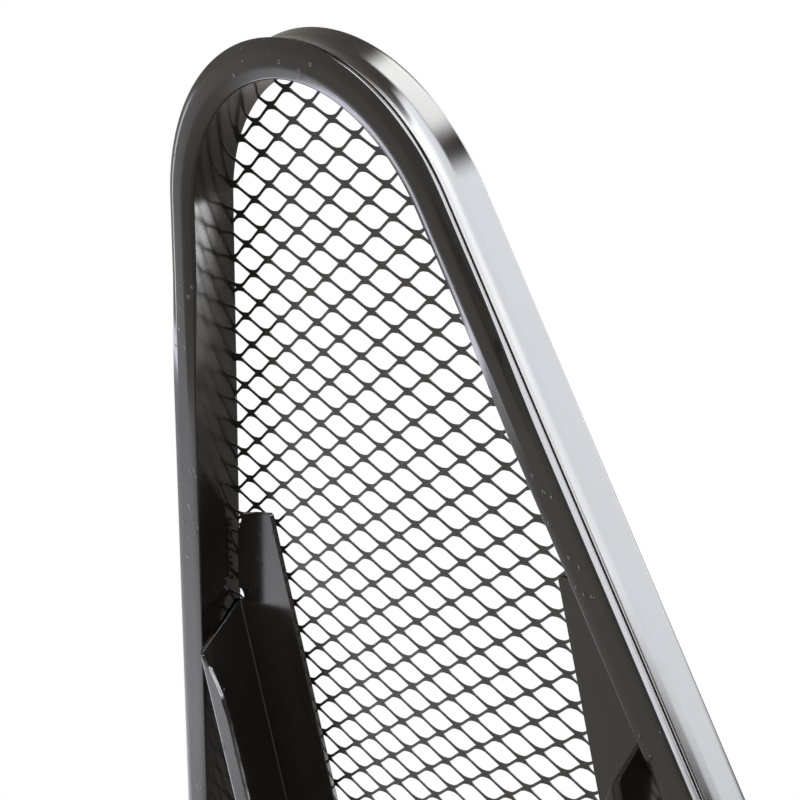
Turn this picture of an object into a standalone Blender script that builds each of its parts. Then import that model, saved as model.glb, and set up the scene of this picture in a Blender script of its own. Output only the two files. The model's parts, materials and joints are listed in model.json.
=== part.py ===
"""Folding side table: a tapered wire-mesh top held out over a floor frame by two uprights.

Metres, +Z up, floor at z = 0. The narrow rounded nose of the top points to -Y and its wide end to +Y.
The table stands open. The uprights fold forward over the floor frame, and the top folds down onto them.
Depths are measured downwards from the plane of the mesh.
"""

import math

import bmesh
import bpy
from mathutils import Vector

for leftover in list(bpy.data.objects):
    bpy.data.objects.remove(leftover, do_unlink=True)

# ---------------------------------------------------------------- driving dimensions
GAP = 0.0003  # between two pieces that touch
TOP_Z = 0.560  # height of the mesh

NOSE_Y = -0.1675  # centre of the nose arc
NOSE_R = 0.073
SIDE_ANGLE = math.radians(19.0)  # each long side leans out from the centre line
BACK_Y = 0.2405
CORNER_R = 0.045
RIM_WIDTH = 0.0128
RIM_SEAM = 0.0004  # butt joint of the bent rim, at the middle of the wide end

MESH_PITCH_X = 0.050
MESH_PITCH_Y = 0.0256
MESH_STRAND = 0.0040
MESH_HALF_THICK = 0.0008

ARM_INNER = 0.0727  # from the centre line to the arm's open edge
ARM_OUTER = 0.1062  # to the outer face of the arm's wall
ARM_SHEET = 0.0018
ARM_TOP = 0.0012  # depth of the arm's web below the mesh
ARM_DEPTH = 0.0250
ARM_LIP = 0.0098
ARM_FRONT_Y = -0.0710
ARM_WALL_Y = -0.0346  # where the wall starts, at the web
ARM_WALL_SLANT = 0.0136  # how far back the wall's lower edge starts
ARM_LIP_TAPER = 0.0250
ARM_LIP_BACK_Y = 0.1400
ARM_BACK_Y = 0.2270

UPRIGHT_X = 0.085  # centre of each upright
UPRIGHT_SIZE = 0.018
UPRIGHT_WALL = 0.0015
UPRIGHT_END = 0.011  # from a pivot to the cut end of the tube

HINGE_Y = 0.210
TOP_HINGE_DEPTH = 0.033
BASE_HINGE_Z = 0.060
PLATE_X = ARM_OUTER + GAP + 0.0001  # inner face of every hinge plate
PLATE_THICK = 0.003
PLATE_R = 0.035
CLAMP_R = 0.026  # from the pivot to the clamp bolt
PIVOT_BOLT_R = 0.004
PIVOT_CLEARANCE = 0.0001
CLAMP_BOLT_R = 0.003
RIVET_R = 0.002

BASE_TUBE_R = 0.0095
BASE_TUBE_WALL = 0.0015
BASE_TUBE_Z = 0.0145
BASE_NOSE_Y = -0.125
BASE_NOSE_R = 0.075
BASE_BACK_Y = 0.232
FOOT_HEIGHT = 0.0125

CROSSBAR_R = 0.008
CROSSBAR_WALL = 0.0012
UPPER_CROSSBAR_Z = 0.440
LOWER_CROSSBAR_Z = 0.150

TOP_HINGE_Z = TOP_Z - TOP_HINGE_DEPTH
SIN = math.sin(SIDE_ANGLE)
COS = math.cos(SIDE_ANGLE)

# ---------------------------------------------------------------- scene helpers
parts = bpy.data.collections.new("folding_side_table")
cutters = bpy.data.collections.new("cutters")
bpy.context.scene.collection.children.link(parts)
bpy.context.scene.collection.children.link(cutters)
cutters.hide_render = True

COLOURS = {
    "black_paint": ((0.016, 0.016, 0.018), 0.0, 0.30),
    "black_plastic": ((0.022, 0.022, 0.024), 0.0, 0.55),
    "black_rubber": ((0.012, 0.012, 0.012), 0.0, 0.85),
    "dark_steel": ((0.16, 0.16, 0.17), 1.0, 0.38),
}


def material(name, kind):
    """One Principled material per sub-part."""
    made = bpy.data.materials.new(name)
    made.use_nodes = True
    shader = made.node_tree.nodes["Principled BSDF"]
    colour, metallic, roughness = COLOURS[kind]
    shader.inputs["Base Color"].default_value = (*colour, 1.0)
    shader.inputs["Metallic"].default_value = metallic
    shader.inputs["Roughness"].default_value = roughness
    made.diffuse_color = (*colour, 1.0)
    return made


def place(name, data, kind, cutter=False):
    """Links a mesh or curve as one named object."""
    made = bpy.data.objects.new(name, data)
    if cutter:
        cutters.objects.link(made)
        made.hide_render = True
        made.display_type = "WIRE"
    else:
        parts.objects.link(made)
        data.materials.append(material(name, kind))
    return made


def mesh_object(name, shape, kind, cutter=False):
    bmesh.ops.recalc_face_normals(shape, faces=shape.faces)
    data = bpy.data.meshes.new(name)
    shape.to_mesh(data)
    shape.free()
    return place(name, data, kind, cutter)


def cut(target, tool):
    step = target.modifiers.new("cut_" + tool.name, "BOOLEAN")
    step.operation = "DIFFERENCE"
    step.solver = "EXACT"
    step.object = tool


def circle(radius, sides, turn=0.5):
    step = math.tau / sides
    return [
        (radius * math.cos((i + turn) * step), radius * math.sin((i + turn) * step))
        for i in range(sides)
    ]


def box_profile(half):
    return [(half, -half), (half, half), (-half, half), (-half, -half)]


def swept(name, stations, outer, inner=(), kind="black_paint", cutter=False):
    """A bar along stations of (origin, across, up). With an inner profile it is a tube with open ends."""
    shape = bmesh.new()
    ends = []
    for profile in filter(None, (outer, inner)):
        rings = [
            [shape.verts.new(origin + across * u + up * v) for u, v in profile]
            for origin, across, up in stations
        ]
        for first, second in zip(rings, rings[1:]):
            for i, corner in enumerate(first):
                shape.faces.new((corner, first[i - 1], second[i - 1], second[i]))
        ends.append((rings[0], rings[-1]))
    for rings in zip(*ends):
        if len(rings) == 1:
            shape.faces.new(rings[0])
            continue
        loops = [
            shape.edges.get((ring[i - 1], ring[i])) for ring in rings for i in range(len(ring))
        ]
        bmesh.ops.triangle_fill(shape, use_beauty=True, use_dissolve=False, edges=loops)
    return mesh_object(name, shape, kind, cutter)


def straight(name, start, end, outer, inner=(), kind="black_paint", cutter=False, up=Vector((0, 0, 1))):
    """A straight bar or tube between two points. up is the second axis of its profile."""
    start = Vector(start)
    end = Vector(end)
    across = up.cross(end - start).normalized()
    return swept(name, [(start, across, up), (end, across, up)], outer, inner, kind, cutter)


def turned(name, centre, side, steps, kind, sides=24, lobes=0, lobe_depth=0.0):
    """A turned piece on an axis along X. steps are (distance outwards, radius, lobed)."""
    shape = bmesh.new()
    rings = []
    for distance, radius, lobed in steps:
        ring = []
        for i in range(sides):
            angle = (i + 0.5) * math.tau / sides
            swell = lobe_depth * math.cos(lobes * angle) if lobed else 0.0
            reach = radius + swell
            ring.append(
                shape.verts.new(
                    (
                        side * (centre[0] + distance),
                        centre[1] + reach * math.cos(angle),
                        centre[2] + reach * math.sin(angle),
                    )
                )
            )
        rings.append(ring)
    for first, second in zip(rings, rings[1:]):
        for i, corner in enumerate(first):
            shape.faces.new((corner, first[i - 1], second[i - 1], second[i]))
    shape.faces.new(rings[0])
    shape.faces.new(rings[-1])
    return mesh_object(name, shape, kind)


def flat(name, loops, thickness, kind="black_paint", on_wall=None):
    """A sheet cut to loops of (x, y), the first the outline and the rest its holes.

    With on_wall it stands in the plane x = on_wall, and its loops are (y, z).
    """
    curve = bpy.data.curves.new(name, "CURVE")
    curve.dimensions = "2D"
    curve.fill_mode = "BOTH"
    curve.extrude = thickness / 2
    for loop in loops:
        spline = curve.splines.new("POLY")
        spline.points.add(len(loop) - 1)
        for point, (u, v) in zip(spline.points, loop):
            point.co = (u, v, 0.0, 1.0)
        spline.use_cyclic_u = True
    made = place(name, curve, kind)
    if on_wall is not None:
        made.rotation_euler = (math.pi / 2, 0.0, math.pi / 2)
        made.location.x = on_wall
    return made


def arc(centre, radius, start, end, pieces):
    """Points on a circle, from one angle in degrees to another."""
    found = []
    for i in range(pieces + 1):
        angle = math.radians(start + (end - start) * i / pieces)
        found.append((centre[0] + radius * math.cos(angle), centre[1] + radius * math.sin(angle)))
    return found


def hole(centre, radius, sides=16):
    return [(centre[0] + u, centre[1] + v) for u, v in circle(radius, sides)]


# ---------------------------------------------------------------- outline of the top
def outline(nose_pieces, corner_pieces):
    """The top's outer edge from the middle of the wide end, as (point, outward direction)."""
    lean = math.degrees(SIDE_ANGLE)
    corner_y = BACK_Y - CORNER_R
    corner_x = (NOSE_R - CORNER_R + (corner_y - NOSE_Y) * SIN) / COS
    arcs = (
        ((-corner_x, corner_y), CORNER_R, 90.0, 180.0 + lean, corner_pieces),
        ((0.0, NOSE_Y), NOSE_R, 180.0 + lean, 360.0 - lean, nose_pieces),
        ((corner_x, corner_y), CORNER_R, -lean, 90.0, corner_pieces),
    )
    found = []
    for centre, radius, start, end, pieces in arcs:
        for i in range(pieces + 1):
            angle = math.radians(start + (end - start) * i / pieces)
            out = Vector((math.cos(angle), math.sin(angle), 0.0))
            found.append((Vector((*centre, 0.0)) + out * radius, out))
    return found


def inset_loop(inset, nose_pieces=18, corner_pieces=8):
    return [tuple((point - out * inset).xy) for point, out in outline(nose_pieces, corner_pieces)]


# Across from the outer face, and down from the mesh, in millimetres: a round lip at the top,
# a shallow valley on the outer face, a fine groove and a round bead along the bottom.
RIM_PROFILE = (
    (12.8, -0.3),
    (12.2, -0.9),
    (1.2, -0.9),
    (0.35, -0.55),
    (0.0, 0.4),
    (0.0, 2.2),
    (0.35, 3.2),
    (0.9, 5.5),
    (1.0, 9.0),
    (0.8, 12.0),
    (0.35, 13.6),
    (0.95, 13.9),
    (0.95, 15.0),
    (0.15, 15.2),
    (0.0, 15.9),
    (0.25, 16.9),
    (1.1, 17.6),
    (11.9, 17.6),
    (12.55, 17.3),
    (12.8, 16.7),
)
RIM_HOLLOW = ((11.5, 0.6), (2.4, 0.6), (2.4, 16.2), (11.5, 16.2))

rim_path = outline(18, 8)
rim_ends = [
    (Vector((sign * RIM_SEAM / 2, BACK_Y, 0.0)), Vector((0.0, 1.0, 0.0))) for sign in (-1, 1)
]
rim_stations = [
    (point + Vector((0, 0, TOP_Z)), -out, Vector((0, 0, -1)))
    for point, out in [rim_ends[0], *rim_path, rim_ends[1]]
]
swept(
    "rim",
    rim_stations,
    [(u / 1000, v / 1000) for u, v in RIM_PROFILE],
    [(u / 1000, v / 1000) for u, v in RIM_HOLLOW],
)


# ---------------------------------------------------------------- mesh panel
def opening(centre_x, centre_y):
    """One six-sided opening of the mesh, pointed to both sides."""
    reach = MESH_PITCH_X / 2 - MESH_STRAND * 1.15
    half = MESH_PITCH_Y / 2 - MESH_STRAND * 0.55
    flat_half = MESH_PITCH_X * 0.07
    return [
        (centre_x + reach, centre_y),
        (centre_x + flat_half, centre_y + half),
        (centre_x - flat_half, centre_y + half),
        (centre_x - reach, centre_y),
        (centre_x - flat_half, centre_y - half),
        (centre_x + flat_half, centre_y - half),
    ]


def inside_rim(x, y, margin):
    """True where a point is at least margin inside the rim's inner wall."""
    inset = RIM_WIDTH + margin
    if y > BACK_Y - inset:
        return False
    if abs(x) * COS - (y - NOSE_Y) * SIN > NOSE_R - inset:
        return False
    along = abs(x) * SIN + (y - NOSE_Y) * COS
    if along < 0 and math.hypot(x, y - NOSE_Y) > NOSE_R - inset:
        return False
    corner_y = BACK_Y - CORNER_R
    corner_x = (NOSE_R - CORNER_R + (corner_y - NOSE_Y) * SIN) / COS
    past = (abs(x) - corner_x) * COS - (y - corner_y) * SIN
    if y > corner_y and past > 0 and abs(x) > corner_x:
        return math.hypot(abs(x) - corner_x, y - corner_y) < CORNER_R - inset
    return True


openings = []
for row in range(-19, 20):
    for column in range(-8, 9):
        if (row + column) % 2:
            continue
        loop = opening(column * MESH_PITCH_X / 2, row * MESH_PITCH_Y / 2)
        if all(inside_rim(x, y, 0.0022) for x, y in loop):
            openings.append(loop)

mesh_panel = flat("mesh_panel", [inset_loop(RIM_WIDTH + GAP), *openings], 2 * MESH_HALF_THICK)
mesh_panel.location.z = TOP_Z


# ---------------------------------------------------------------- arms under the mesh
def prism(name, side, points, low, high, plane):
    """A cutter: points of (x, y) between two heights, or of (y, depth) between two distances out."""
    shape = bmesh.new()
    ends = []
    for level in (low, high):
        ring = []
        for u, v in points:
            if plane == "plan":
                corner = (side * u, v, TOP_Z - level)
            else:
                corner = (side * level, u, TOP_Z - v)
            ring.append(shape.verts.new(corner))
        ends.append(ring)
    for i, corner in enumerate(ends[0]):
        shape.faces.new((corner, ends[0][i - 1], ends[1][i - 1], ends[1][i]))
    shape.faces.new(ends[0])
    shape.faces.new(ends[1])
    return mesh_object(name, shape, None, cutter=True)


ARM_PROFILE = (
    (ARM_INNER, ARM_TOP),
    (ARM_OUTER - 0.0016, ARM_TOP),
    (ARM_OUTER - 0.0005, ARM_TOP + 0.0005),
    (ARM_OUTER, ARM_TOP + 0.0016),
    (ARM_OUTER, ARM_DEPTH - 0.0016),
    (ARM_OUTER - 0.0005, ARM_DEPTH - 0.0005),
    (ARM_OUTER - 0.0016, ARM_DEPTH),
    (ARM_OUTER - ARM_LIP, ARM_DEPTH),
    (ARM_OUTER - ARM_LIP, ARM_DEPTH - ARM_SHEET),
    (ARM_OUTER - ARM_SHEET, ARM_DEPTH - ARM_SHEET),
    (ARM_OUTER - ARM_SHEET, ARM_TOP + ARM_SHEET),
    (ARM_INNER, ARM_TOP + ARM_SHEET),
)
ARM_RIVETS = ((0.160, 0.0130), (0.184, 0.0130))  # along the arm, and depth


def arm(name, side):
    """A bent channel, open towards the centre line, with a flat tongue in front of its wall."""
    along = [
        (Vector((0, y, TOP_Z)), Vector((side, 0, 0)), Vector((0, 0, -1)))
        for y in (ARM_FRONT_Y, ARM_BACK_Y)
    ]
    made = swept(name, along, ARM_PROFILE)
    below_web = ARM_TOP + ARM_SHEET
    far = ARM_OUTER + 0.010
    near = ARM_INNER - 0.010
    wall_front = [
        (ARM_FRONT_Y - 0.010, below_web),
        (ARM_WALL_Y, below_web),
        (ARM_WALL_Y + ARM_WALL_SLANT, ARM_DEPTH + 0.001),
        (ARM_FRONT_Y - 0.010, ARM_DEPTH + 0.001),
    ]
    cut(made, prism(name + "_wall_front", side, wall_front, near, far, "side"))
    lip_edge = ARM_OUTER - ARM_LIP
    lip_root = ARM_OUTER - ARM_SHEET
    wall_low_y = ARM_WALL_Y + ARM_WALL_SLANT
    front_taper = [
        (near, wall_low_y - 0.010),
        (lip_root, wall_low_y - 0.010),
        (lip_root, wall_low_y),
        (lip_edge + 0.0050, wall_low_y + 0.0040),
        (lip_edge + 0.0012, wall_low_y + ARM_LIP_TAPER * 0.62),
        (lip_edge, wall_low_y + ARM_LIP_TAPER),
        (near, wall_low_y + ARM_LIP_TAPER),
    ]
    lip_top = ARM_DEPTH - ARM_SHEET - 0.004
    cut(made, prism(name + "_lip_front", side, front_taper, lip_top, ARM_DEPTH + 0.002, "plan"))
    back_taper = [
        (near, ARM_LIP_BACK_Y),
        (lip_edge, ARM_LIP_BACK_Y),
        (lip_root, ARM_LIP_BACK_Y + 0.010),
        (lip_root, ARM_BACK_Y + 0.010),
        (near, ARM_BACK_Y + 0.010),
    ]
    cut(made, prism(name + "_lip_back", side, back_taper, lip_top, ARM_DEPTH + 0.002, "plan"))
    tongue_side = [
        (ARM_OUTER - 0.0130, ARM_FRONT_Y - 0.005),
        (ARM_OUTER - 0.0125, ARM_FRONT_Y),
        (ARM_OUTER - 0.0108, ARM_FRONT_Y + 0.0048),
        (ARM_OUTER - 0.0018, ARM_WALL_Y - 0.0035),
        (ARM_OUTER - 0.0018, ARM_WALL_Y + 0.0008),
        (far, ARM_WALL_Y + 0.0008),
        (far, ARM_FRONT_Y - 0.005),
    ]
    cut(made, prism(name + "_tongue", side, tongue_side, -0.004, below_web + 0.0001, "plan"))
    tongue_end = [
        (near, ARM_FRONT_Y - 0.005),
        (ARM_OUTER - 0.0140, ARM_FRONT_Y - 0.005),
        (ARM_OUTER - 0.0230, ARM_FRONT_Y + 0.0002),
        (ARM_INNER + 0.0015, ARM_FRONT_Y + 0.0002),
        (near, ARM_FRONT_Y + 0.0090),
    ]
    cut(made, prism(name + "_tongue_end", side, tongue_end, -0.004, below_web + 0.004, "plan"))
    relief = hole((ARM_OUTER - 0.0020, ARM_WALL_Y - 0.0026), 0.0026, 16)
    cut(made, prism(name + "_relief", side, relief, -0.004, below_web + 0.004, "plan"))
    for i, place_of in enumerate(ARM_RIVETS):
        tool = prism(name + f"_rivet_hole_{i}", side, hole(place_of, RIVET_R + GAP), near, far, "side")
        cut(made, tool)
    return made


# ---------------------------------------------------------------- hinge plates
SLOT_HALF = CLAMP_BOLT_R + GAP


def slot(reach, start, end):
    """The curved slot that the clamp bolt runs in, about the pivot."""
    outer = arc((0, 0), reach + SLOT_HALF, start, end, 12)
    inner = arc((0, 0), reach - SLOT_HALF, end, start, 12)
    first = (reach * math.cos(math.radians(end)), reach * math.sin(math.radians(end)))
    last = (reach * math.cos(math.radians(start)), reach * math.sin(math.radians(start)))
    return [
        *outer,
        *arc(first, SLOT_HALF, end, end + 180, 8)[1:-1],
        *inner,
        *arc(last, SLOT_HALF, start + 180, start + 360, 8)[1:-1],
    ]


def moved(loop, centre):
    return [(centre[0] + u, centre[1] + v) for u, v in loop]


def top_plate(name, side):
    """Riveted to the arm. The upright swings from straight down to the nose in its slot."""
    pivot = (HINGE_Y, TOP_HINGE_Z)
    edge = [
        (ARM_BACK_Y - 0.0004, TOP_Z - 0.0045),
        (0.1500, TOP_Z - 0.0045),
        (0.1460, TOP_Z - 0.0085),
        (0.1460, TOP_Z - 0.0170),
        (HINGE_Y - PLATE_R, TOP_HINGE_Z - 0.0020),
        *arc(pivot, PLATE_R, 190.0, 270.0, 12),
        (ARM_BACK_Y - 0.0060, TOP_HINGE_Z - PLATE_R),
        (ARM_BACK_Y - 0.0004, TOP_HINGE_Z - PLATE_R + 0.0060),
    ]
    loops = [
        edge,
        moved(circle(PIVOT_BOLT_R + PIVOT_CLEARANCE, 24), pivot),
        moved(slot(CLAMP_R, 180.0, 270.0), pivot),
        *(hole((y, TOP_Z - depth), RIVET_R + GAP) for y, depth in ARM_RIVETS),
    ]
    return flat(name, loops, PLATE_THICK, on_wall=side * (PLATE_X + PLATE_THICK / 2))


def base_plate(name, side):
    """Stands on the rear bar. The upright swings from straight up to the front in its slot."""
    pivot = (HINGE_Y, BASE_HINGE_Z)
    seat = (HINGE_Y, BASE_TUBE_Z)
    edge = [
        *arc(seat, BASE_TUBE_R + GAP, 0.0, 180.0, 16),
        (HINGE_Y - 0.0160, BASE_TUBE_Z),
        (HINGE_Y - 0.0200, BASE_TUBE_Z + 0.0060),
        *arc(pivot, PLATE_R, 180.0, 90.0, 12),
        (HINGE_Y + 0.0110, BASE_HINGE_Z + PLATE_R),
        (HINGE_Y + 0.0160, BASE_HINGE_Z + PLATE_R - 0.0050),
        (HINGE_Y + 0.0160, BASE_TUBE_Z),
    ]
    loops = [
        edge,
        moved(circle(PIVOT_BOLT_R + PIVOT_CLEARANCE, 24), pivot),
        moved(slot(CLAMP_R, 90.0, 180.0), pivot),
    ]
    return flat(name, loops, PLATE_THICK, on_wall=side * (PLATE_X + PLATE_THICK / 2))


# ---------------------------------------------------------------- bolts, sleeves and knobs
UPRIGHT_OUTER_X = UPRIGHT_X + UPRIGHT_SIZE / 2
UPRIGHT_INNER_X = UPRIGHT_X - UPRIGHT_SIZE / 2
PLATE_OUTER_X = PLATE_X + PLATE_THICK


def bolt(name, side, centre, radius, end_x, head_r, head_thick):
    """A round-headed bolt. Its head lies on the outer face of a plate."""
    head_x = PLATE_OUTER_X + GAP
    steps = [
        (end_x, radius * 0.82, False),
        (end_x + 0.0010, radius, False),
        (head_x, radius, False),
        (head_x, head_r, False),
        (head_x + head_thick * 0.6, head_r * 0.86, False),
        (head_x + head_thick, head_r * 0.40, False),
    ]
    return turned(name, (0.0, *centre), side, steps, "dark_steel", sides=24)


def sleeve(name, side, centre, bore, radius):
    """The spacer between an upright and a plate."""
    ends = [
        (Vector((side * x, *centre)), Vector((0, side, 0)), Vector((0, 0, 1)))
        for x in (UPRIGHT_OUTER_X + GAP, PLATE_X - GAP)
    ]
    return swept(name, ends, circle(radius, 20), circle(bore + GAP, 20), "dark_steel")


def nut(name, side, centre):
    """A six-sided lock nut on the inner face of the upright, round the end of the pivot bolt."""
    ends = [
        (Vector((side * x, *centre)), Vector((0, side, 0)), Vector((0, 0, 1)))
        for x in (UPRIGHT_INNER_X - 0.0075, UPRIGHT_INNER_X - GAP)
    ]
    return swept(name, ends, circle(0.0072, 6), circle(PIVOT_BOLT_R + GAP, 12), "dark_steel")


def knob(name, side, centre):
    """A lobed hand knob, its blind bore round the inner end of the clamp bolt."""
    face_x = UPRIGHT_INNER_X - GAP
    bore = CLAMP_BOLT_R + 0.0001
    steps = [
        (face_x - 0.0135, bore, False),
        (face_x, bore, False),
        (face_x, 0.0070, False),
        (face_x - 0.0050, 0.0074, False),
        (face_x - 0.0056, 0.0108, True),
        (face_x - 0.0145, 0.0112, True),
        (face_x - 0.0168, 0.0100, True),
        (face_x - 0.0175, 0.0080, True),
    ]
    return turned(name, (0.0, *centre), side, steps, "black_plastic", 30, lobes=6, lobe_depth=0.0011)


# ---------------------------------------------------------------- uprights
def drilled(target, name, side, centres):
    """Drills round holes across an upright."""
    for i, (centre, radius) in enumerate(centres):
        ends = (
            (side * (UPRIGHT_INNER_X - 0.005), *centre),
            (side * (UPRIGHT_OUTER_X + 0.005), *centre),
        )
        cut(target, straight(f"{name}_drill_{i}", *ends, circle(radius + GAP, 16), cutter=True))


def plug(name, side, end_z, direction):
    """A plastic plug in the end of an upright. direction is +1 at the top end."""
    half = UPRIGHT_SIZE / 2
    inner = half - UPRIGHT_WALL - GAP
    shape = bmesh.new()
    levels = (
        (-0.0060, inner - 0.0006),
        (-0.0050, inner),
        (GAP, inner),
        (GAP, half),
        (GAP + 0.0010, half),
        (GAP + 0.0018, half - 0.0012),
    )
    rings = [
        [
            shape.verts.new((side * UPRIGHT_X + u, HINGE_Y + v, end_z + direction * step))
            for u, v in box_profile(reach)
        ]
        for step, reach in levels
    ]
    for first, second in zip(rings, rings[1:]):
        for i, corner in enumerate(first):
            shape.faces.new((corner, first[i - 1], second[i - 1], second[i]))
    shape.faces.new(rings[0])
    shape.faces.new(rings[-1])
    return mesh_object(name, shape, "black_plastic")


SIDES = (("left", -1), ("right", 1))
top_pivot = (HINGE_Y, TOP_HINGE_Z)
top_clamp = (HINGE_Y, TOP_HINGE_Z - CLAMP_R)
base_pivot = (HINGE_Y, BASE_HINGE_Z)
base_clamp = (HINGE_Y, BASE_HINGE_Z + CLAMP_R)
upright_top_z = TOP_HINGE_Z + UPRIGHT_END
upright_bottom_z = BASE_HINGE_Z - UPRIGHT_END

for word, side in SIDES:
    arm(f"arm_{word}", side)
    top_plate(f"top_hinge_plate_{word}", side)
    base_plate(f"base_hinge_plate_{word}", side)
    for number, (y, depth) in enumerate(ARM_RIVETS, start=1):
        shank_end = ARM_OUTER - ARM_SHEET - GAP
        head = PLATE_OUTER_X + GAP
        rivet_steps = [
            (shank_end - 0.0012, 0.0026, False),
            (shank_end, 0.0034, False),
            (shank_end, RIVET_R, False),
            (head, RIVET_R, False),
            (head, 0.0036, False),
            (head + 0.0014, 0.0024, False),
        ]
        turned(f"rivet_{word}_{number}", (0.0, y, TOP_Z - depth), side, rivet_steps, "dark_steel", 12)
    upright = straight(
        f"upright_{word}",
        (side * UPRIGHT_X, HINGE_Y, upright_bottom_z),
        (side * UPRIGHT_X, HINGE_Y, upright_top_z),
        box_profile(UPRIGHT_SIZE / 2),
        box_profile(UPRIGHT_SIZE / 2 - UPRIGHT_WALL),
        up=Vector((0, 1, 0)),
    )
    holes = [
        (top_pivot, PIVOT_BOLT_R),
        (base_pivot, PIVOT_BOLT_R),
        (top_clamp, CLAMP_BOLT_R),
        (base_clamp, CLAMP_BOLT_R),
    ]
    drilled(upright, f"upright_{word}", side, holes)
    plug(f"upright_plug_top_{word}", side, upright_top_z, 1)
    plug(f"upright_plug_base_{word}", side, upright_bottom_z, -1)
    for level, pivot, clamp in (("top", top_pivot, top_clamp), ("base", base_pivot, base_clamp)):
        bolt(f"{level}_pivot_bolt_{word}", side, pivot, PIVOT_BOLT_R, UPRIGHT_INNER_X - 0.009, 0.0068, 0.0032)
        bolt(f"{level}_clamp_bolt_{word}", side, clamp, CLAMP_BOLT_R, UPRIGHT_INNER_X - 0.012, 0.0060, 0.0026)
        sleeve(f"{level}_pivot_sleeve_{word}", side, pivot, PIVOT_BOLT_R, 0.0070)
        sleeve(f"{level}_clamp_sleeve_{word}", side, clamp, CLAMP_BOLT_R, 0.0055)
        nut(f"{level}_pivot_nut_{word}", side, pivot)
        knob(f"{level}_knob_{word}", side, clamp)

for name, height in (("upper_crossbar", UPPER_CROSSBAR_Z), ("lower_crossbar", LOWER_CROSSBAR_Z)):
    straight(
        name,
        (UPRIGHT_INNER_X - GAP, HINGE_Y, height),
        (GAP - UPRIGHT_INNER_X, HINGE_Y, height),
        circle(CROSSBAR_R, 16),
        circle(CROSSBAR_R - CROSSBAR_WALL, 16),
    )


# ---------------------------------------------------------------- floor frame
def rail_x(y):
    """The centre of the floor tube's straight side."""
    return (BASE_NOSE_R + (y - BASE_NOSE_Y) * SIN) / COS


def rail_direction(side):
    return Vector((side * SIN, COS, 0.0))


def base_tube():
    lean = math.degrees(SIDE_ANGLE)
    stations = []
    for angle in [180.0 + lean + (180.0 - 2 * lean) * i / 14 for i in range(15)]:
        out = Vector((math.cos(math.radians(angle)), math.sin(math.radians(angle)), 0.0))
        centre = Vector((0.0, BASE_NOSE_Y, BASE_TUBE_Z)) + out * BASE_NOSE_R
        stations.append((centre, out, Vector((0, 0, 1))))
    for side, at_start in ((-1, True), (1, False)):
        out = Vector((side * COS, -SIN, 0.0))
        end = Vector((side * rail_x(BASE_BACK_Y), BASE_BACK_Y, BASE_TUBE_Z))
        stations.insert(0 if at_start else len(stations), (end, out, Vector((0, 0, 1))))
    return swept(
        "base_tube",
        stations,
        circle(BASE_TUBE_R, 16),
        circle(BASE_TUBE_R - BASE_TUBE_WALL, 16),
    )


def rail_cutter(name, side, y, reach):
    """A round bar along the floor tube's side, a little thicker than the tube."""
    middle = Vector((side * rail_x(y), y, BASE_TUBE_Z))
    step = rail_direction(side) * reach
    profile = circle((BASE_TUBE_R + GAP) / math.cos(math.pi / 32), 32)
    return straight(name, middle - step, middle + step, profile, cutter=True)


def foot(name, side, y):
    """A rubber pad with a round seat, under the floor tube."""
    middle = Vector((side * rail_x(y), y, 0.0))
    along = rail_direction(side)
    across = Vector((side * COS, -SIN, 0.0))
    half = 0.0130
    low = half - 0.0015
    profile = [
        (-low, 0.0),
        (low, 0.0),
        (half, 0.0020),
        (half - 0.0010, FOOT_HEIGHT),
        (0.0010 - half, FOOT_HEIGHT),
        (-half, 0.0020),
    ]
    stations = [(middle + along * step, across, Vector((0, 0, 1))) for step in (-0.016, 0.016)]
    made = swept(name, stations, profile, kind="black_rubber")
    cut(made, rail_cutter(name + "_seat", side, y, 0.030))
    return made


def end_cap(name, side):
    """A plastic cap over a rear end of the floor tube, with a plug inside it."""
    end = Vector((side * rail_x(BASE_BACK_Y), BASE_BACK_Y, BASE_TUBE_Z))
    out = rail_direction(side)
    across = Vector((side * COS, -SIN, 0.0))
    up = Vector((0, 0, 1))
    inner = BASE_TUBE_R - BASE_TUBE_WALL - GAP
    levels = (
        (-0.0100, inner - 0.0008),
        (-0.0085, inner),
        (GAP, inner),
        (GAP, BASE_TUBE_R),
        (0.0022, BASE_TUBE_R),
        (0.0040, BASE_TUBE_R - 0.0022),
    )
    shape = bmesh.new()
    rings = [
        [
            shape.verts.new(end + out * step + across * u + up * v)
            for u, v in circle(radius, 16)
        ]
        for step, radius in levels
    ]
    for first, second in zip(rings, rings[1:]):
        for i, corner in enumerate(first):
            shape.faces.new((corner, first[i - 1], second[i - 1], second[i]))
    shape.faces.new(rings[0])
    shape.faces.new(rings[-1])
    return mesh_object(name, shape, "black_plastic")


base_tube()
rear_reach = rail_x(HINGE_Y)
base_crossbar = straight(
    "base_crossbar",
    (rear_reach, HINGE_Y, BASE_TUBE_Z),
    (-rear_reach, HINGE_Y, BASE_TUBE_Z),
    circle(BASE_TUBE_R, 16),
    circle(BASE_TUBE_R - BASE_TUBE_WALL, 16),
)
for word, side in SIDES:
    cut(base_crossbar, rail_cutter(f"base_crossbar_cope_{word}", side, HINGE_Y, 0.060))
    foot(f"foot_front_{word}", side, -0.115)
    foot(f"foot_rear_{word}", side, 0.180)
    end_cap(f"base_cap_{word}", side)
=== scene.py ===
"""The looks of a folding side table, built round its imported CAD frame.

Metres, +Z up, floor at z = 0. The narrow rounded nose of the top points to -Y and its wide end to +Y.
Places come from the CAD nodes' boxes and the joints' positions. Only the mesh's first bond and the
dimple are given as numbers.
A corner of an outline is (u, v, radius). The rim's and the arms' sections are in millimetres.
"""

import json
import math

import bmesh
import bpy
from mathutils import Matrix, Vector, noise


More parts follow.
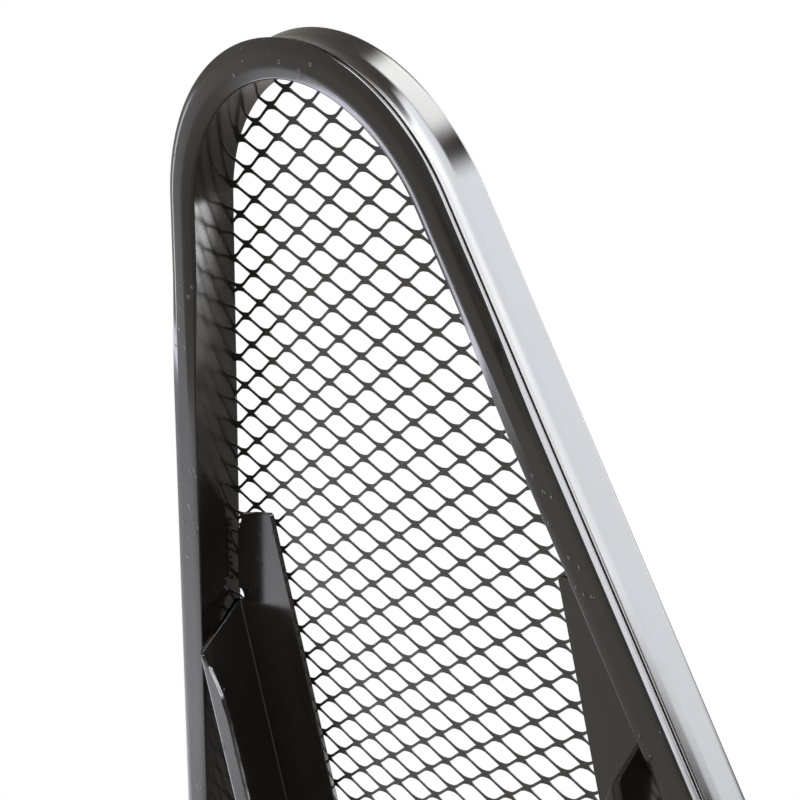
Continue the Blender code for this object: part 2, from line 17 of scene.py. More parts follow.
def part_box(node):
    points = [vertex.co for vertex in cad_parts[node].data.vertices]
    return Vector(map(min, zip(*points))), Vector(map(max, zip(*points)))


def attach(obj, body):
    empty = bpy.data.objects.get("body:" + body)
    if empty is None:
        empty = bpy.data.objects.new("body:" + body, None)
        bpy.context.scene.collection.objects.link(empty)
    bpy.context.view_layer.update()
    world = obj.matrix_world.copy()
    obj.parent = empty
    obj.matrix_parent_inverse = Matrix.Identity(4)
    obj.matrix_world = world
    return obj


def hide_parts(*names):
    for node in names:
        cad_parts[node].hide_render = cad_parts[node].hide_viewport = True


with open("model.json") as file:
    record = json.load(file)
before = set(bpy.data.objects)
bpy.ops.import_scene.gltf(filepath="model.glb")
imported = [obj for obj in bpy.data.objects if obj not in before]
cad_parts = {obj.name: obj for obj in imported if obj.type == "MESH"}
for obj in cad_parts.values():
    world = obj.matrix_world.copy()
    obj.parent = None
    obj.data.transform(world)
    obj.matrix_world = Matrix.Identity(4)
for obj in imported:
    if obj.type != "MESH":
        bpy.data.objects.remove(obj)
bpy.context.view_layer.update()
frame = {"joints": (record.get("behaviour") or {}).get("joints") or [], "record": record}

MM = 0.001
SIDES = (("left", -1), ("right", 1))
X_AXIS = Vector((1, 0, 0))
Y_AXIS = Vector((0, 1, 0))
UP = Vector((0, 0, 1))


# -------- objects and data
def placed(name, data):
    """A new object with this data, in the scene."""
    made = bpy.data.objects.new(name, data)
    bpy.context.scene.collection.objects.link(made)
    return made


def mesh_data(name, shape):
    """Turns a shape into mesh data and frees it."""
    data = bpy.data.meshes.new(name)
    shape.to_mesh(data)
    shape.free()
    return data


# -------- places read from the frame
def box(node):
    low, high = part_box(node)
    return low, high, (low + high) / 2


rim_low, rim_high, _ = box("rim")
panel_low, panel_high, panel_mid = box("mesh_panel")
arm_low, arm_high, _ = box("arm_right")
pivots = {joint["name"]: Vector(joint["pos_m"]) for joint in frame["joints"]}
BODY_OF = {
    node: body for body, nodes in frame["record"]["behaviour"]["bodies"].items() for node in nodes
}

# The plan of the top: a nose arc, two straight sides that lean out, and two rear corners.
NOSE_R = 0.073
LEAN = math.radians(19.0)
SIN = math.sin(LEAN)
COS = math.cos(LEAN)
RIM_WIDTH = 0.0128
NOSE_Y = rim_low.y + NOSE_R
BACK_Y = rim_high.y
HALF_WIDTH = rim_high.x
CORNER_R = (NOSE_R - HALF_WIDTH * COS + (BACK_Y - NOSE_Y) * SIN) / (1 - COS + SIN)
TOP_Z = panel_mid.z


# -------- camera
CAMERA_FROM_NOSE = Vector((0.5028, -0.0485, -0.3766))
CAMERA_RIGHT = Vector((0.637, 0.1934, 0.7462))
CAMERA_FORWARD = Vector((-0.7666, 0.2612, 0.5867))
FOCAL_LENGTH = 91.58  # mm
SENSOR_WIDTH = 36.0


def make_camera():
    """Low in front of the nose and to its right, rolled, looking up at the underside of the top."""
    forward = CAMERA_FORWARD.normalized()
    up = CAMERA_RIGHT.normalized().cross(forward).normalized()
    right = forward.cross(up)
    turn = Matrix((right, up, -forward)).transposed().to_4x4()
    data = bpy.data.cameras.new("camera")
    data.sensor_width = SENSOR_WIDTH
    data.lens = FOCAL_LENGTH
    data.clip_start = 0.01
    data.clip_end = 20.0
    camera = placed("camera", data)
    nose_tip = Vector((0.0, rim_low.y, TOP_Z))
    camera.matrix_world = Matrix.Translation(nose_tip + CAMERA_FROM_NOSE) @ turn
    bpy.context.scene.camera = camera


make_camera()


# -------- material nodes
class Nodes:
    """A short way to add nodes to one tree and link their sockets."""

    def __init__(self, tree):
        self.tree = tree

    def add(self, kind, settings=(), **inputs):
        node = self.tree.nodes.new("ShaderNode" + kind)
        for name, value in dict(settings).items():
            setattr(node, name, value)
        for name, value in inputs.items():
            self.feed(node.inputs[name.replace("_", " ")], value)
        return node

    def feed(self, socket, value):
        if isinstance(value, bpy.types.NodeSocket):
            self.tree.links.new(value, socket)
        else:
            socket.default_value = value

    def noise(self, place, scale, detail=3.0, roughness=0.55):
        node = self.add("TexNoise", Vector=place, Scale=scale, Detail=detail, Roughness=roughness)
        return node.outputs["Fac"]

    def between(self, value, low, high, to_low=0.0, to_high=1.0):
        """Maps low..high to to_low..to_high, and holds it there outside."""
        node = self.add("MapRange", {"interpolation_type": "SMOOTHSTEP"}, Value=value)
        bounds = {"From Min": low, "From Max": high, "To Min": to_low, "To Max": to_high}
        for name, bound in bounds.items():
            node.inputs[name].default_value = bound
        return node.outputs["Result"]

    def maths(self, operation, first, second=0.0, third=0.0):
        node = self.add("Math", {"operation": operation})
        for socket, value in zip(node.inputs, (first, second, third)):
            self.feed(socket, value)
        return node.outputs["Value"]

    def mix(self, factor, first, second):
        node = self.add("Mix", {"data_type": "RGBA"})
        self.feed(node.inputs[0], factor)
        self.feed(node.inputs[6], first)
        self.feed(node.inputs[7], second)
        return node.outputs[2]

    def bump(self, height, distance, normal=None, strength=1.0):
        node = self.add("Bump", Height=height, Strength=strength, Distance=distance)
        if normal is not None:
            self.feed(node.inputs["Normal"], normal)
        return node.outputs["Normal"]

    def edges(self, radius, low, high):
        """1 on sharp edges, 0 on faces: where a rounded normal leaves the true one."""
        dot = self.add("VectorMath", {"operation": "DOT_PRODUCT"})
        self.feed(dot.inputs[0], self.add("Bevel", {"samples": 4}, Radius=radius).outputs["Normal"])
        self.feed(dot.inputs[1], self.add("NewGeometry").outputs["Normal"])
        return self.between(dot.outputs["Value"], high, low)

    def multiply(self, first, *others):
        for other in others:
            first = self.maths("MULTIPLY", first, other)
        return first

    def surface(self, colour, roughness, normal):
        """Feeds the main sockets of the tree's shader, and returns the shader."""
        shader = self.tree.nodes["Principled BSDF"]
        for name, value in (("Base Color", colour), ("Roughness", roughness), ("Normal", normal)):
            self.feed(shader.inputs[name], value)
        return shader


WORN_PAINT = (0.11, 0.105, 0.10, 1.0)
BRIGHT_STEEL = (0.42, 0.41, 0.40, 1.0)
DUST = (0.05, 0.048, 0.045, 1.0)
CRATERS_PER_METRE = 330.0  # places where a crater can be, most of which stay empty
CRATER_HEIGHT = 0.00035


def opaque(colour, times=1.0):
    return (*(value * times for value in colour), 1.0)


def new_material(name):
    """A material, a way to add nodes to it, and the place on the object."""
    made = bpy.data.materials.new(name)
    made.use_nodes = True
    nodes = Nodes(made.node_tree)
    return made, nodes, nodes.add("TexCoord").outputs["Object"]


def craters(nodes, place, specks):
    """Heights of small raised rings, in clusters on faces that look down, where paint gathers."""
    cells = nodes.add("TexVoronoi", {"feature": "F1"}, Vector=place, Scale=CRATERS_PER_METRE)
    rim_in = nodes.between(cells.outputs["Distance"], 0.06, 0.16)
    rim_out = nodes.between(cells.outputs["Distance"], 0.30, 0.20)
    shade = nodes.add("SeparateColor", Color=cells.outputs["Color"])
    chosen = nodes.between(shade.outputs["Red"], 0.74, 0.78)
    clusters = nodes.between(nodes.noise(place, 31.0, 2.0), 0.50 - 0.05 * specks, 0.54)
    facing = nodes.add("SeparateXYZ", Vector=nodes.add("NewGeometry").outputs["Normal"])
    below = nodes.between(facing.outputs["Z"], -0.4, -0.8)
    return nodes.multiply(rim_in, rim_out, chosen, clusters, below)


def painted_steel(name, colour, gloss, peel, specks, wear):
    """Black stove enamel: faint orange peel, soft cloudy gloss, craters and thin edges."""
    made, nodes, place = new_material(name)
    tint = nodes.between(nodes.noise(place, 14.0, 4.0), 0.3, 0.7)
    base = nodes.mix(tint, opaque(colour), opaque(colour, 1.5))
    edge = nodes.edges(0.0007, 0.80, 0.97)
    patchy = nodes.between(nodes.noise(place, 420.0, 3.0), 0.50, 0.66)
    worn = nodes.multiply(edge, patchy, wear)
    base = nodes.mix(worn, base, WORN_PAINT)
    smear = nodes.between(nodes.noise(place, 46.0, 5.0, 0.65), 0.3, 0.75, *gloss)
    rough = nodes.maths("ADD", smear, nodes.multiply(worn, 0.25))
    normal = nodes.bump(nodes.noise(place, 900.0, 2.0), peel)
    normal = nodes.bump(craters(nodes, place, specks), CRATER_HEIGHT, normal, specks)
    nodes.surface(base, rough, normal)
    return made


def moulded_plastic(name, colour):
    """Textured black plastic with a fine spark-eroded grain and rubbed edges."""
    made, nodes, place = new_material(name)
    base = nodes.mix(nodes.edges(0.0009, 0.80, 0.98), opaque(colour), opaque(colour, 2.4))
    rough = nodes.between(nodes.noise(place, 90.0, 4.0), 0.3, 0.7, 0.42, 0.58)
    nodes.surface(base, rough, nodes.bump(nodes.noise(place, 2600.0, 2.0), 0.00006))
    return made


def rubber(name, colour):
    """Matt black rubber with a little dust on it."""
    made, nodes, place = new_material(name)
    dust = nodes.between(nodes.noise(place, 60.0, 5.0, 0.7), 0.45, 0.8)
    rough = nodes.between(nodes.noise(place, 200.0, 3.0), 0.3, 0.7, 0.72, 0.9)
    normal = nodes.bump(nodes.noise(place, 1500.0, 3.0), 0.0001)
    shader = nodes.surface(nodes.mix(dust, opaque(colour), DUST), rough, normal)
    shader.inputs["Specular IOR Level"].default_value = 0.35
    return made


def turned_steel(name, colour):
    """Black-plated fasteners with a fine grain and bright worn corners."""
    made, nodes, place = new_material(name)
    patchy = nodes.between(nodes.noise(place, 700.0, 3.0), 0.42, 0.6)
    worn = nodes.multiply(nodes.edges(0.0006, 0.78, 0.97), patchy)
    rough = nodes.between(nodes.noise(place, 160.0, 4.0), 0.3, 0.7, 0.24, 0.42)
    normal = nodes.bump(nodes.noise(place, 1800.0, 2.0), 0.00003)
    shader = nodes.surface(nodes.mix(worn, opaque(colour), BRIGHT_STEEL), rough, normal)
    shader.inputs["Metallic"].default_value = 1.0
    return made


MATERIALS = {
    "black_paint": painted_steel(
        "gloss_black_paint", (0.0105, 0.0092, 0.0080), (0.12, 0.19), peel=0.000004, specks=0.5, wear=0.6
    ),
    "mesh_paint": painted_steel(
        "mesh_black_paint", (0.012, 0.011, 0.010), (0.22, 0.34), peel=0.00001, specks=0.2, wear=0.5
    ),
    "black_plastic": moulded_plastic("black_plastic", (0.020, 0.020, 0.021)),
    "black_rubber": rubber("black_rubber", (0.014, 0.014, 0.014)),
    "dark_steel": turned_steel("plated_steel", (0.10, 0.10, 0.105)),
}


# -------- building helpers
def mesh_piece(name, shape, slot, body, replaced=(), sharp=35.0):
    """A shape as a piece, with its shading, slot, body and the CAD nodes that it stands for."""
    bmesh.ops.recalc_face_normals(shape, faces=shape.faces)
    piece = placed(name, mesh_data(name, shape))
    piece.data.shade_smooth()
    piece.data.set_sharp_from_angle(angle=math.radians(sharp))
    piece.data.materials.append(MATERIALS[slot])
    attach(piece, body)
    if replaced:
        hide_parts(*replaced)
    return piece


def instead_of(node, shape, slot="black_paint", sharp=35.0):
    """A finer piece in the place of one CAD node."""
    return mesh_piece(node + "_finish", shape, slot, BODY_OF[node], [node], sharp)


def keep_flats_flat(piece):
    """Takes the shading of a bend's edges from the large flat faces beside them."""
    weighted = piece.modifiers.new("flat_shading", "WEIGHTED_NORMAL")
    weighted.mode = "FACE_AREA"
    weighted.weight = 100
    weighted.keep_sharp = True


def skin(shape, first, second):
    for i, corner in enumerate(first):
        shape.faces.new((corner, first[i - 1], second[i - 1], second[i]))


def loft(rings, endless=False):
    """A skin over closed rings of points. Its ends are closed, or joined if it is endless."""
    shape = bmesh.new()
    made = [[shape.verts.new(point) for point in ring] for ring in rings]
    for first, second in zip(made, made[1:]):
        skin(shape, first, second)
    if endless:
        skin(shape, made[-1], made[0])
    else:
        shape.faces.new(made[0])
        shape.faces.new(made[-1])
    return shape


def rounded(corners, pieces=5):
    """A closed profile from (u, v, radius) corners, each corner turned into an arc. All in one unit."""
    found = []
    for i, (u, v, radius) in enumerate(corners):
        if radius == 0:
            found.append((u, v))
            continue
        here = Vector((u, v))
        back = Vector(corners[i - 1][:2]) - here
        on = Vector(corners[(i + 1) % len(corners)][:2]) - here
        turn = math.pi - back.angle(on)
        reach = min(radius * math.tan(turn / 2), back.length * 0.49, on.length * 0.49)
        start = here + back.normalized() * reach
        end = here + on.normalized() * reach
        middle_weight = math.cos(turn / 2)
        for k in range(pieces + 1):
            t = k / pieces
            weights = ((1 - t) ** 2, 2 * t * (1 - t) * middle_weight, t * t)
            point = start * weights[0] + here * weights[1] + end * weights[2]
            found.append(tuple(point / sum(weights)))
    return found


def circle(radius, sides):
    return [
        (radius * math.cos(math.tau * i / sides), radius * math.sin(math.tau * i / sides))
        for i in range(sides)
    ]


def ring_at(origin, across, up, profile):
    return [origin + across * u + up * v for u, v in profile]


def arc(centre, radius, start, end, pieces, radii=()):
    """Points on a circle, from one angle in degrees to another. radii adds a corner radius to each."""
    found = []
    for i in range(pieces + 1):
        angle = math.radians(start + (end - start) * i / pieces)
        found.append((centre[0] + radius * math.cos(angle), centre[1] + radius * math.sin(angle), *radii))
    return found


def carve(shape, tools, operation="DIFFERENCE"):
    """Takes closed tools away from a closed shape, or keeps only what is inside them."""
    made = []
    for part in (shape, *tools):
        bmesh.ops.recalc_face_normals(part, faces=part.faces)
        made.append(placed("carving", mesh_data("carving", part)))
    for tool in made[1:]:
        modifier = made[0].modifiers.new("cut", "BOOLEAN")
        modifier.operation = operation
        modifier.solver = "MANIFOLD"
        modifier.object = tool
    graph = bpy.context.evaluated_depsgraph_get()
    data = bpy.data.meshes.new_from_object(made[0].evaluated_get(graph))
    result = bmesh.new()
    result.from_mesh(data)
    for part in made:
        bpy.data.objects.remove(part)
    bpy.data.meshes.remove(data)
    return result


def soften(shape, width, angle):
    """Rounds every edge that turns more than angle."""
    edges = [
        edge for edge in shape.edges
        if edge.is_manifold and edge.calc_face_angle() > math.radians(angle)
    ]
    bmesh.ops.bevel(
        shape, geom=edges, offset=width, segments=2, profile=0.5,
        affect="EDGES", clamp_overlap=False,
    )


def tube(stations, outer, inner):
    """A tube with open ends along stations of (origin, across, up). Both profiles have as many points."""
    shape = bmesh.new()
    ends = []
    for profile in (outer, inner):
        rings = [[shape.verts.new(point) for point in ring_at(*station, profile)] for station in stations]
        for first, second in zip(rings, rings[1:]):
            skin(shape, first, second)
        ends.append((rings[0], rings[-1]))
    for wide, narrow in zip(*ends):
        skin(shape, wide, narrow)
    return shape


def bar(start, end, profile):
    """A closed straight bar."""
    start, end = Vector(start), Vector(end)
    across = UP.cross(end - start).normalized()
    return loft([ring_at(place, across, UP, profile) for place in (start, end)])


def prism(points, low, high, place):
    """A closed prism over points of (u, v), between two values of w. place turns u, v, w into a point."""
    return loft([[place(u, v, w) for u, v in points] for w in (low, high)])


def moved_left(loop, distance):
    """A closed loop of (u, v), each point moved to the left of the way the loop runs."""
    found = []
    for i, point in enumerate(loop):
        here = Vector(point)
        first = (here - Vector(loop[i - 1])).normalized()
        second = (Vector(loop[(i + 1) % len(loop)]) - here).normalized()
        left = Vector((-first.y - second.y, first.x + second.x)).normalized()
        stretch = max(left.dot(Vector((-first.y, first.x))), 0.5)
        found.append(tuple(here + left * (distance / stretch)))
    return found


def sheet(loops, low, high, place, bevel=0.0003):
    """A flat sheet cut to its first loop, with the others as holes, and every edge broken."""
    shape = bmesh.new()
    caps = ([], [])
    for number, loop in enumerate(loops):
        area = sum(a[0] * b[1] - b[0] * a[1] for a, b in zip(loop, loop[1:] + loop[:1]))
        if (area > 0) != (number == 0):
            loop = loop[::-1]
        inner = moved_left(loop, bevel)
        levels = ((inner, low), (loop, low + bevel), (loop, high - bevel), (inner, high))
        rings = [[shape.verts.new(place(u, v, w)) for u, v in ring] for ring, w in levels]
        for first, second in zip(rings, rings[1:]):
            skin(shape, first, second)
        for cap, ring in zip(caps, (rings[0], rings[-1])):
            cap.extend(shape.edges.get((ring[i - 1], ring[i])) for i in range(len(ring)))
    for cap in caps:
        bmesh.ops.triangle_fill(shape, use_beauty=True, use_dissolve=False, edges=cap)
    return shape


def turned(node, side, steps, slot="dark_steel", sharp=30.0, sides=48, endless=False):
    """A turned piece in the place of a CAD node, about an axis along X.

    Each step is (distance out, radius), or (distance out, radius, form) where it isn't round.
    """
    centre = box(node)[2]
    rings = []
    for distance, radius, *form in steps:
        ring = []
        for i in range(sides):
            angle = math.tau * i / sides
            reach = radius * (form[0](angle) if form else 1.0)
            y = centre.y + reach * math.cos(angle)
            ring.append(Vector((side * distance, y, centre.z + reach * math.sin(angle))))
        rings.append(ring)
    instead_of(node, loft(rings, endless), slot, sharp)


def dome(start, end, pieces=7):
    """Steps of a quarter ellipse, from the edge of a head to its crown."""
    found = []
    for i in range(pieces + 1):
        turn = math.pi / 2 * i / pieces
        distance = start[0] + (end[0] - start[0]) * math.sin(turn)
        found.append((distance, end[1] + (start[1] - end[1]) * math.cos(turn)))
    return found


def hexagon(angle):
    """How far a hexagon reaches at an angle, as a multiple of the distance to its flats."""
    return 1 / math.cos((angle + math.pi / 6) % (math.pi / 3) - math.pi / 6)


def chamfered_hexagon(angle):
    """The same with its corners turned off."""
    return min(hexagon(angle), 1.07)


def six_lobes(angle):
    """A round grip with six shallow lobes, as a multiple of its mean radius."""
    return 1 + 0.095 * math.cos(6 * angle)


def weld_bead(name, path, body, thick=0.0013, closed=True):
    """A rippled bead of weld along a path of points, painted over."""
    rings = []
    count = len(path)
    for i, here in enumerate(path):
        back = path[i - 1] if closed or i else here
        on = path[(i + 1) % count] if closed or i < count - 1 else here
        along = (on - back).normalized()
        across = along.orthogonal() if abs(along.x) > 0.9 else along.cross(X_AXIS)
        across.normalize()
        ripple = thick * (0.92 + 0.10 * math.sin(2.1 * i) + 0.10 * noise.noise(here * 400))
        if not closed:
            ripple *= math.sqrt(max(math.sin(math.pi * (i + 0.5) / count), 0.05))
        rings.append(ring_at(here, across, along.cross(across), circle(ripple, 12)))
    mesh_piece(name, loft(rings, closed), "black_paint", body, sharp=60.0)


# -------- rim
def top_outline(nose_pieces=72, corner_pieces=28, side_pieces=40):
    """The top's outer edge from the middle of the wide end, as (point, outward direction)."""
    lean = math.degrees(LEAN)
    corner_x = HALF_WIDTH - CORNER_R
    corner_y = BACK_Y - CORNER_R
    arcs = (
        ((-corner_x, corner_y), CORNER_R, 90.0, 180.0 + lean, corner_pieces),
        ((0.0, NOSE_Y), NOSE_R, 180.0 + lean, 360.0 - lean, nose_pieces),
        ((corner_x, corner_y), CORNER_R, -lean, 90.0, corner_pieces),
    )
    found = []
    for centre, radius, start, end, pieces in arcs:
        for i in range(pieces + 1):
            angle = math.radians(start + (end - start) * i / pieces)
            out = Vector((math.cos(angle), math.sin(angle), 0.0))
            point = Vector((*centre, 0.0)) + out * radius
            if found and i == 0:
                last = found[-1][0]
                for k in range(1, side_pieces):
                    found.append((last.lerp(point, k / side_pieces), out.copy()))
            found.append((point, out))
    return found


# The wall has a round lip, a shallow valley, a fine groove and a bead. Round the nose the bar's underside
# bulges where it was bent; along the sides it is flat.
def rim_wall(lean):
    """Corners of the rim's wall. lean is how far the lip's foot stands back from its top."""
    return (
        (12.8, -0.9, 0.7), (0.0, -0.9, 0.9), (lean, 0.9, 3.0),
        (1.30 + 0.5 * lean, 6.2, 7.0), (1.40 + 0.5 * lean, 9.2, 8.0), (1.00, 12.2, 4.0),
        (0.30, 13.75, 0.30), (1.05, 13.90, 0.10), (1.05, 15.05, 0.10), (0.0, 15.15, 0.45),
    )


NOSE_PROFILE = (
    *rim_wall(0.45), (0.0, 16.1, 1.0), (3.2, 17.5, 5.0), (8.6, 17.6, 6.0), (12.8, 16.3, 1.3)
)
SIDE_PROFILE = (
    *rim_wall(0.0), (0.0, 17.55, 0.8), (3.2, 17.60, 5.0), (8.6, 17.6, 6.0), (12.8, 17.58, 0.5)
)
RIM_BLEND = 0.045  # along the table, from the nose's section to the sides'
RIM_SEAM = 0.0002  # half the gap of the butt joint at the middle of the wide end


def make_rim():
    nose, side = rounded(NOSE_PROFILE), rounded(SIDE_PROFILE)
    stations = top_outline()
    ends = [(Vector((sign * RIM_SEAM, BACK_Y, 0.0)), Y_AXIS) for sign in (-1, 1)]
    rings = []
    for point, out in [ends[0], *stations, ends[1]]:
        past_nose = min(max((point.y - NOSE_Y) / RIM_BLEND, 0.0), 1.0)
        share = past_nose * past_nose * (3 - 2 * past_nose)
        profile = [
            ((a[0] * (1 - share) + b[0] * share) * MM, (a[1] * (1 - share) + b[1] * share) * MM)
            for a, b in zip(nose, side)
        ]
        rings.append(ring_at(point + UP * TOP_Z, -out, -UP, profile))
    instead_of("rim", loft(rings), sharp=40.0)


make_rim()


# -------- expanded mesh
PITCH_X = 0.020  # from bond to bond along one line
ROW = 0.00513  # from one line of bonds to the next
FIRST_BOND = Vector((0.0056, -0.140))
STRAND = 0.00127  # a strand's width along Y, at a bond
STRAND_SLOPE = math.tan(math.radians(32.0))
STRAND_DROP = 0.00006  # from a strand's front edge down to its rear edge
STRAND_THICK = 0.00030
ROUND_HALF = 0.0015  # half the length of the round corner on a strand's free edge
BOND_HALF = 0.0018
BOND_TORN = 0.0016  # the shear's run-out, on the +X side of a bond: the front strand leaves early
BOND_LIPPED = 0.0023  # and the rear one late
CLEAR_OF_BOND = 0.0033
# Stations along one leg of a zigzag, from the middle of a bond to the middle of the next
HALF_STEPS = (0.0, 0.0009, BOND_TORN, BOND_LIPPED, CLEAR_OF_BOND, 0.0065, 0.0073, 0.0082, 0.0091, 0.0100)
MESH_SINK = 0.0001  # the strands' middle, below the middle of the CAD's plate
MESH_TUCK = 0.0002  # how far the strands' ends run into the rim's wall


def strand_edge(s, bond_half):
    """(y, z) of a strand's edge, s along X from the middle of a bond that the edge shares."""
    corner = BOND_HALF + (ROW - STRAND) / STRAND_SLOPE
    if s <= bond_half:
        y = 0.0
    elif s < CLEAR_OF_BOND:
        y = (CLEAR_OF_BOND - BOND_HALF) * STRAND_SLOPE * (s - bond_half) / (CLEAR_OF_BOND - bond_half)
    elif s <= corner - ROUND_HALF:
        y = (s - BOND_HALF) * STRAND_SLOPE
    elif s < corner + ROUND_HALF:
        y = ROW - STRAND - STRAND_SLOPE * (corner + ROUND_HALF - s) ** 2 / (4 * ROUND_HALF)
    else:
        y = ROW - STRAND
    rise = min(max((s - bond_half) / (PITCH_X / 2 - 2 * bond_half), 0.0), 1.0)
    return y, rise * STRAND_DROP


def inner_half_width(y, inset):
    """Half the width of the top's outline at y, with the outline drawn in by inset."""
    nose = NOSE_R - inset
    along = y - NOSE_Y
    if along < -nose * SIN:
        return math.sqrt(max(nose * nose - along * along, 0.0))
    return (nose + along * SIN) / COS


class Shared:
    """Collects quads whose corners are shared, and drops each pair of faces that meet."""

    def __init__(self):
        self.points = {}
        self.faces = {}

    def quad(self, *corners):
        keys = [tuple(round(value * 1e7) for value in point) for point in corners]
        for key, point in zip(keys, corners):
            self.points.setdefault(key, point)
        face = frozenset(keys)
        if face in self.faces:
            del self.faces[face]
        else:
            self.faces[face] = keys

    def shape(self):
        """The quads that are left, as a shape."""
        number = {key: i for i, key in enumerate(self.points)}
        data = bpy.data.meshes.new("strands")
        faces = [[number[key] for key in face] for face in self.faces.values()]
        data.from_pydata(list(self.points.values()), [], faces)
        shape = bmesh.new()
        shape.from_mesh(data)
        bpy.data.meshes.remove(data)
        return shape


def strand_row(shared, row, first, last):
    """One zigzag strand between two lines of bonds, from half pitch number first to last."""
    half = PITCH_X / 2
    base_y = FIRST_BOND.y + row * ROW
    stations = []
    for column in range(first, last):
        leaving = (column + row) % 2 == 0
        for step in HALF_STEPS[:-1] if column < last - 1 else HALF_STEPS:
            if leaving:
                front_y, front_z = strand_edge(step, BOND_LIPPED)
                mirror_y, mirror_z = strand_edge(half - step, BOND_HALF)
            else:
                front_y, front_z = strand_edge(half - step, BOND_HALF)
                mirror_y, mirror_z = strand_edge(step, BOND_TORN)
            x = FIRST_BOND.x + column * half + step
            front = (x, base_y + front_y, front_z)
            rear = (x, base_y + ROW - mirror_y, -mirror_z)
            stations.append((front, rear))
    stations = stations[4:-4]  # both ends lie between two bonds
    middle = TOP_Z - MESH_SINK
    low, high = (
        [tuple((x, y, middle + z + lift) for x, y, z in pair) for pair in stations]
        for lift in (-STRAND_THICK / 2, STRAND_THICK / 2)
    )
    for i in range(len(stations) - 1):
        shared.quad(low[i][0], low[i][1], low[i + 1][1], low[i + 1][0])
        shared.quad(high[i][0], high[i + 1][0], high[i + 1][1], high[i][1])
        shared.quad(low[i][0], low[i + 1][0], high[i + 1][0], high[i][0])
        shared.quad(low[i][1], high[i][1], high[i + 1][1], low[i + 1][1])
    shared.quad(low[0][0], high[0][0], high[0][1], low[0][1])
    shared.quad(low[-1][0], low[-1][1], high[-1][1], high[-1][0])


def keep_largest(shape):
    """Deletes every island of a shape but its largest."""
    unseen = set(shape.verts)
    islands = []
    while unseen:
        island = [unseen.pop()]
        for vertex in island:
            for edge in vertex.link_edges:
                other = edge.other_vert(vertex)
                if other in unseen:
                    unseen.remove(other)
                    island.append(other)
        islands.append(island)
    islands.sort(key=len)
    for island in islands[:-1]:
        bmesh.ops.delete(shape, geom=island, context="VERTS")


def make_mesh_panel():
    """Expanded metal, sheared and stretched, then cut to the inside of the rim and welded there."""
    inset = RIM_WIDTH - MESH_TUCK
    shared = Shared()
    half = PITCH_X / 2
    first_row = math.floor((rim_low.y + inset - FIRST_BOND.y) / ROW) - 1
    last_row = math.ceil((BACK_Y - inset - FIRST_BOND.y) / ROW) + 1
    for row in range(first_row, last_row):
        y = FIRST_BOND.y + (row + 1) * ROW
        reach = min(inner_half_width(y + ROW, inset), HALF_WIDTH) + half
        first = math.floor((-reach - FIRST_BOND.x) / half)
        last = math.ceil((reach - FIRST_BOND.x) / half)
        strand_row(shared, row, first, last)
    inner = [point - out * inset for point, out in top_outline(96, 32, 1)]
    outline = loft([[point + UP * z for point in inner] for z in (TOP_Z - 0.01, TOP_Z + 0.01)])
    shape = carve(shared.shape(), [outline], "INTERSECT")
    keep_largest(shape)
    instead_of("mesh_panel", shape, "mesh_paint", 30.0)


make_mesh_panel()


# -------- arms under the mesh
GAP = 0.0003  # between pieces that touch
SHEET = 1.8  # mm, the arms' steel
ARM_IN = arm_low.x / MM  # the web's free edge, from the centre line
ARM_OUT = arm_high.x / MM
ARM_TOP = (TOP_Z - arm_high.z) / MM  # depths below the mesh
ARM_DEEP = (TOP_Z - arm_low.z) / MM
ARM_FRONT = arm_low.y / MM
ARM_BACK = arm_high.y / MM
WALL_FRONT = ARM_FRONT + 36.4  # where the wall starts, at the web
WALL_LOW_FRONT = WALL_FRONT + 13.6  # and at its lower edge
TONGUE_LEAN = 1.8  # how far the tongue's inner corner stands in front of its middle
LIP_IN = ARM_OUT - 9.8
LIP_BACK = 140.0
WALL_IN = ARM_OUT - SHEET
TOP_PIVOT = pivots["top_fold"]
BASE_PIVOT = pivots["base_fold"]
RIVETS = [box(f"rivet_right_{number}")[2] for number in (1, 2)]
RIVET_R = 0.002

ARM_PROFILE = (
    (ARM_IN, ARM_TOP, 0),
    (ARM_OUT, ARM_TOP, 2.4),
    (ARM_OUT, ARM_DEEP, 2.4),
    (LIP_IN, ARM_DEEP, 0),
    (LIP_IN, ARM_DEEP - SHEET, 0),
    (WALL_IN, ARM_DEEP - SHEET, 0.7),
    (WALL_IN, ARM_TOP + SHEET, 0.7),
    (ARM_IN, ARM_TOP + SHEET, 0),
)


# What is cut from the bent channel: the wall's slanted front as seen from the side, the rest in plan.
NEAR = ARM_IN - 10  # clear of the arm, on either side of it
FAR = ARM_OUT + 10
BELOW_WEB = ARM_TOP + SHEET
LIP_TOP = ARM_DEEP - SHEET - 4  # above the lip and inside the channel
WALL_FRONT_CUT = (
    (ARM_FRONT - 10, BELOW_WEB),
    (WALL_FRONT, BELOW_WEB),
    (WALL_LOW_FRONT, ARM_DEEP + 1),
    (ARM_FRONT - 10, ARM_DEEP + 1),
)
LIP_FRONT_CUT = (
    (NEAR, WALL_LOW_FRONT - 10, 1),
    (WALL_IN, WALL_LOW_FRONT - 10, 0.2),
    (WALL_IN, WALL_LOW_FRONT, 1.0),
    (LIP_IN + 5.0, WALL_LOW_FRONT + 4.0, 3.0),
    (LIP_IN + 1.2, WALL_LOW_FRONT + 15.5, 14.0),
    (LIP_IN, WALL_LOW_FRONT + 25.0, 20.0),
    (LIP_IN, WALL_LOW_FRONT + 30.0, 0.2),
    (NEAR, WALL_LOW_FRONT + 30.0, 1),
)
LIP_BACK_CUT = (
    (NEAR, LIP_BACK, 1),
    (LIP_IN, LIP_BACK, 3.0),
    (WALL_IN, LIP_BACK + 10, 2.0),
    (WALL_IN, ARM_BACK + 10, 1),
    (NEAR, ARM_BACK + 10, 1),
)
